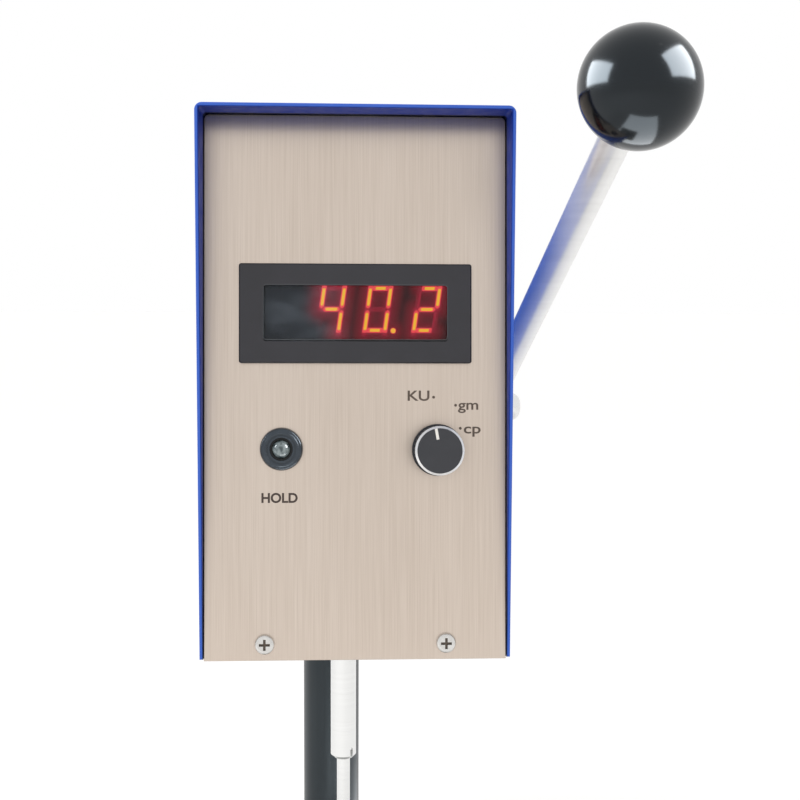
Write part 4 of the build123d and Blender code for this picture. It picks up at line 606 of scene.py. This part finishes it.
def label(name, text, x, s, cap, width, heavy, mat):
    curve = bpy.data.curves.new(name, "FONT")
    curve.body = text
    curve.align_x, curve.align_y = "CENTER", "CENTER"
    curve.size = cap * MM / 0.7
    curve.extrude = 0.00003
    curve.offset = heavy * MM
    obj = bpy.data.objects.new(name, curve)
    bpy.context.scene.collection.objects.link(obj)
    curve.materials.append(mat)
    bpy.context.view_layer.update()
    factor = width * MM / obj.dimensions.x
    obj.matrix_world = panel_matrix(x, s, 0.05) @ Matrix.Diagonal((factor, 1, 1, 1))
    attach(obj, "head")
    return obj


label("word_hold", "HOLD", -31.9, 66.9, 3.9, 15.1, 0.17, ink)
label("mark_ku", "KU", 26.4, 109.7, 4.2, 9.2, 0.1, soft_ink)
label("mark_gm", "gm", 47.6, 105.9, 4.2, 8.6, 0.09, soft_ink)
label("mark_cp", "cp", 49.1, 95.9, 4.2, 7.1, 0.09, soft_ink)
dots = [prism(disc(x, s, 0.6, 16), 0.0, 0.06) for x, s in ((32.8, 109.3), (42.1, 105.9), (44.1, 96.2))]
mesh_object("scale_dots", *joined(dots), soft_ink, "head", panel_matrix(0, 0, 0.02) @ scale)

# Stage, light and camera
# The world lights the object as a plain bright room, dimmer and warmer on the camera's side. The camera,
# gloss and glass see it white, so a metal's colour renders about as it is written.


def background_rays(m):
    """1 for the rays that show the background: from the camera, off gloss or through glass."""
    path = add(m, "ShaderNodeLightPath")
    both = add(m, "ShaderNodeMath", operation="MAXIMUM")
    wire(m, path, "Is Camera Ray", both, 0)
    wire(m, path, "Is Transmission Ray", both, 1)
    all_three = add(m, "ShaderNodeMath", operation="MAXIMUM")
    wire(m, both, "Value", all_three, 0)
    wire(m, path, "Is Glossy Ray", all_three, 1)
    return all_three


def pale_floor():
    """White floor that keeps the object's shadow, a little darker near the object."""
    m = bpy.data.materials.new("floor")
    m.use_nodes = True
    b = shader(m)
    b.inputs["Base Color"].default_value = (0.86, 0.86, 0.86, 1)
    b.inputs["Roughness"].default_value = 0.9
    b.inputs["Specular IOR Level"].default_value = 0.1
    b.inputs["Emission Color"].default_value = (1, 1, 1, 1)
    clear = background_rays(m)
    away = add(m, "ShaderNodeVectorMath", operation="LENGTH")
    wire(m, own_coords(m), "Object", away, "Vector")
    lift = add(m, "ShaderNodeMath", operation="MULTIPLY")
    wire(m, clear, "Value", lift, 0)
    wire(m, spread(m, away, "Value", 0.1, 0.27, 0.3, 0.5), "Result", lift, 1)
    wire(m, lift, "Value", b, "Emission Strength")
    bpy.ops.mesh.primitive_plane_add(size=60)
    floor = bpy.context.object
    floor.name = "floor"
    floor.location = (0, 0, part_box("feet")[0].z)
    floor.data.materials.append(m)


pale_floor()


def room():
    world = bpy.data.worlds.new("studio")
    bpy.context.scene.world = world
    world.use_nodes = True
    split = add(world, "ShaderNodeSeparateXYZ")
    wire(world, add(world, "ShaderNodeTexCoord"), "Generated", split, "Vector")
    height = spread(world, split, "Z", 0.0, 1.0, -1.0, 1.0)
    front = ramp(world, height, "Result", [(0.42, (0.92, 0.895, 0.865)), (0.51, (0.89, 0.845, 0.785)),
                                           (0.61, (0.59, 0.49, 0.375)), (0.78, (0.44, 0.375, 0.3)),
                                           (0.95, (0.85, 0.85, 0.85))])
    around = ramp(world, height, "Result", [(0.5, (1.0, 1.0, 1.0)), (0.75, (0.96, 0.97, 0.98)),
                                            (0.95, (0.9, 0.9, 0.9))])
    share = spread(world, split, "Y", 1.0, 0.0, -0.75, -0.1)
    share.interpolation_type = "SMOOTHSTEP"
    lit = mixed_color(world, share, "Result", around.outputs["Color"], front.outputs["Color"])
    clear = background_rays(world)
    white = mixed_color(world, clear, "Value", lit.outputs[2], (1.0, 1.0, 1.0))
    background = world.node_tree.nodes["Background"]
    world.node_tree.links.new(white.outputs[2], background.inputs["Color"])
    background.inputs["Strength"].default_value = 1.0


room()


def area(name, place, target, size, radiance, color, unseen, only=()):
    """A soft box of the given radiance, in metres; unseen names the kinds of rays that miss it, and only
    names the nodes that it lights, where it doesn't light everything."""
    lamp = bpy.data.lights.new(name, "AREA")
    lamp.shape = "RECTANGLE"
    lamp.size, lamp.size_y = size
    lamp.energy = radiance * math.pi * size[0] * size[1]
    lamp.color = color
    obj = bpy.data.objects.new(name, lamp)
    bpy.context.scene.collection.objects.link(obj)
    obj.location = place
    obj.rotation_mode = "QUATERNION"
    obj.rotation_quaternion = (Vector(target) - Vector(place)).to_track_quat("-Z", "Y")
    for kind in unseen:
        setattr(obj, "visible_" + kind, False)
    if only:
        obj.light_linking.receiver_collection = bpy.data.collections.new(name + "_receivers")
        for node in only:
            obj.light_linking.receiver_collection.objects.link(nodes[node])
    return obj


MIDDLE = (0.03, 0.0, 0.42)
area("soft_key", (-0.7, -1.0, 1.4), MIDDLE, (0.9, 0.9), 3.6, (1.0, 0.99, 0.97), ("camera", "glossy"))
# The cards are seen only in the gloss of dark pieces, which need bright ones for their highlights.
DARK_GLOSS = ("lever_ball", "hold_bush", "hold_lens", "column")
area("left_card", (-1.11, 0.1, 0.92), MIDDLE, (1.3, 0.7), 15.0, (0.93, 0.97, 1.0), ("camera", "diffuse"),
     DARK_GLOSS)
area("right_card", (1.19, -0.41, 1.16), MIDDLE, (1.45, 0.95), 15.0, (0.96, 0.98, 1.0), ("camera", "diffuse"),
     DARK_GLOSS)
area("table_card", (0.11, -0.03, -0.02), (0.11, -0.03, 1.0), (0.44, 0.7), 4.5, (0.95, 0.98, 1.0),
     ("camera", "diffuse"), DARK_GLOSS)

YAW, PITCH, ROLL = math.radians(2.79), math.radians(4.849), math.radians(-0.238)
forward = Vector((math.sin(YAW) * math.cos(PITCH), math.cos(YAW) * math.cos(PITCH), -math.sin(PITCH)))
right = Vector((math.cos(YAW), -math.sin(YAW), 0))
down = forward.cross(right)
right, down = (math.cos(ROLL) * right + math.sin(ROLL) * down, -math.sin(ROLL) * right + math.cos(ROLL) * down)
cam_data = bpy.data.cameras.new("camera")
cam_data.lens, cam_data.sensor_width = 1231.62 / 800 * 36, 36.0
cam_data.clip_start, cam_data.clip_end = 0.01, 200
cam = bpy.data.objects.new("camera", cam_data)
bpy.context.scene.collection.objects.link(cam)
turn = Matrix((right, -down, -forward)).transposed().to_4x4()
turn.translation = Vector((-1.48, -554.852, 393.676)) * MM
cam.matrix_world = turn
bpy.context.scene.camera = cam
bpy.context.scene.view_settings.view_transform = "Standard"
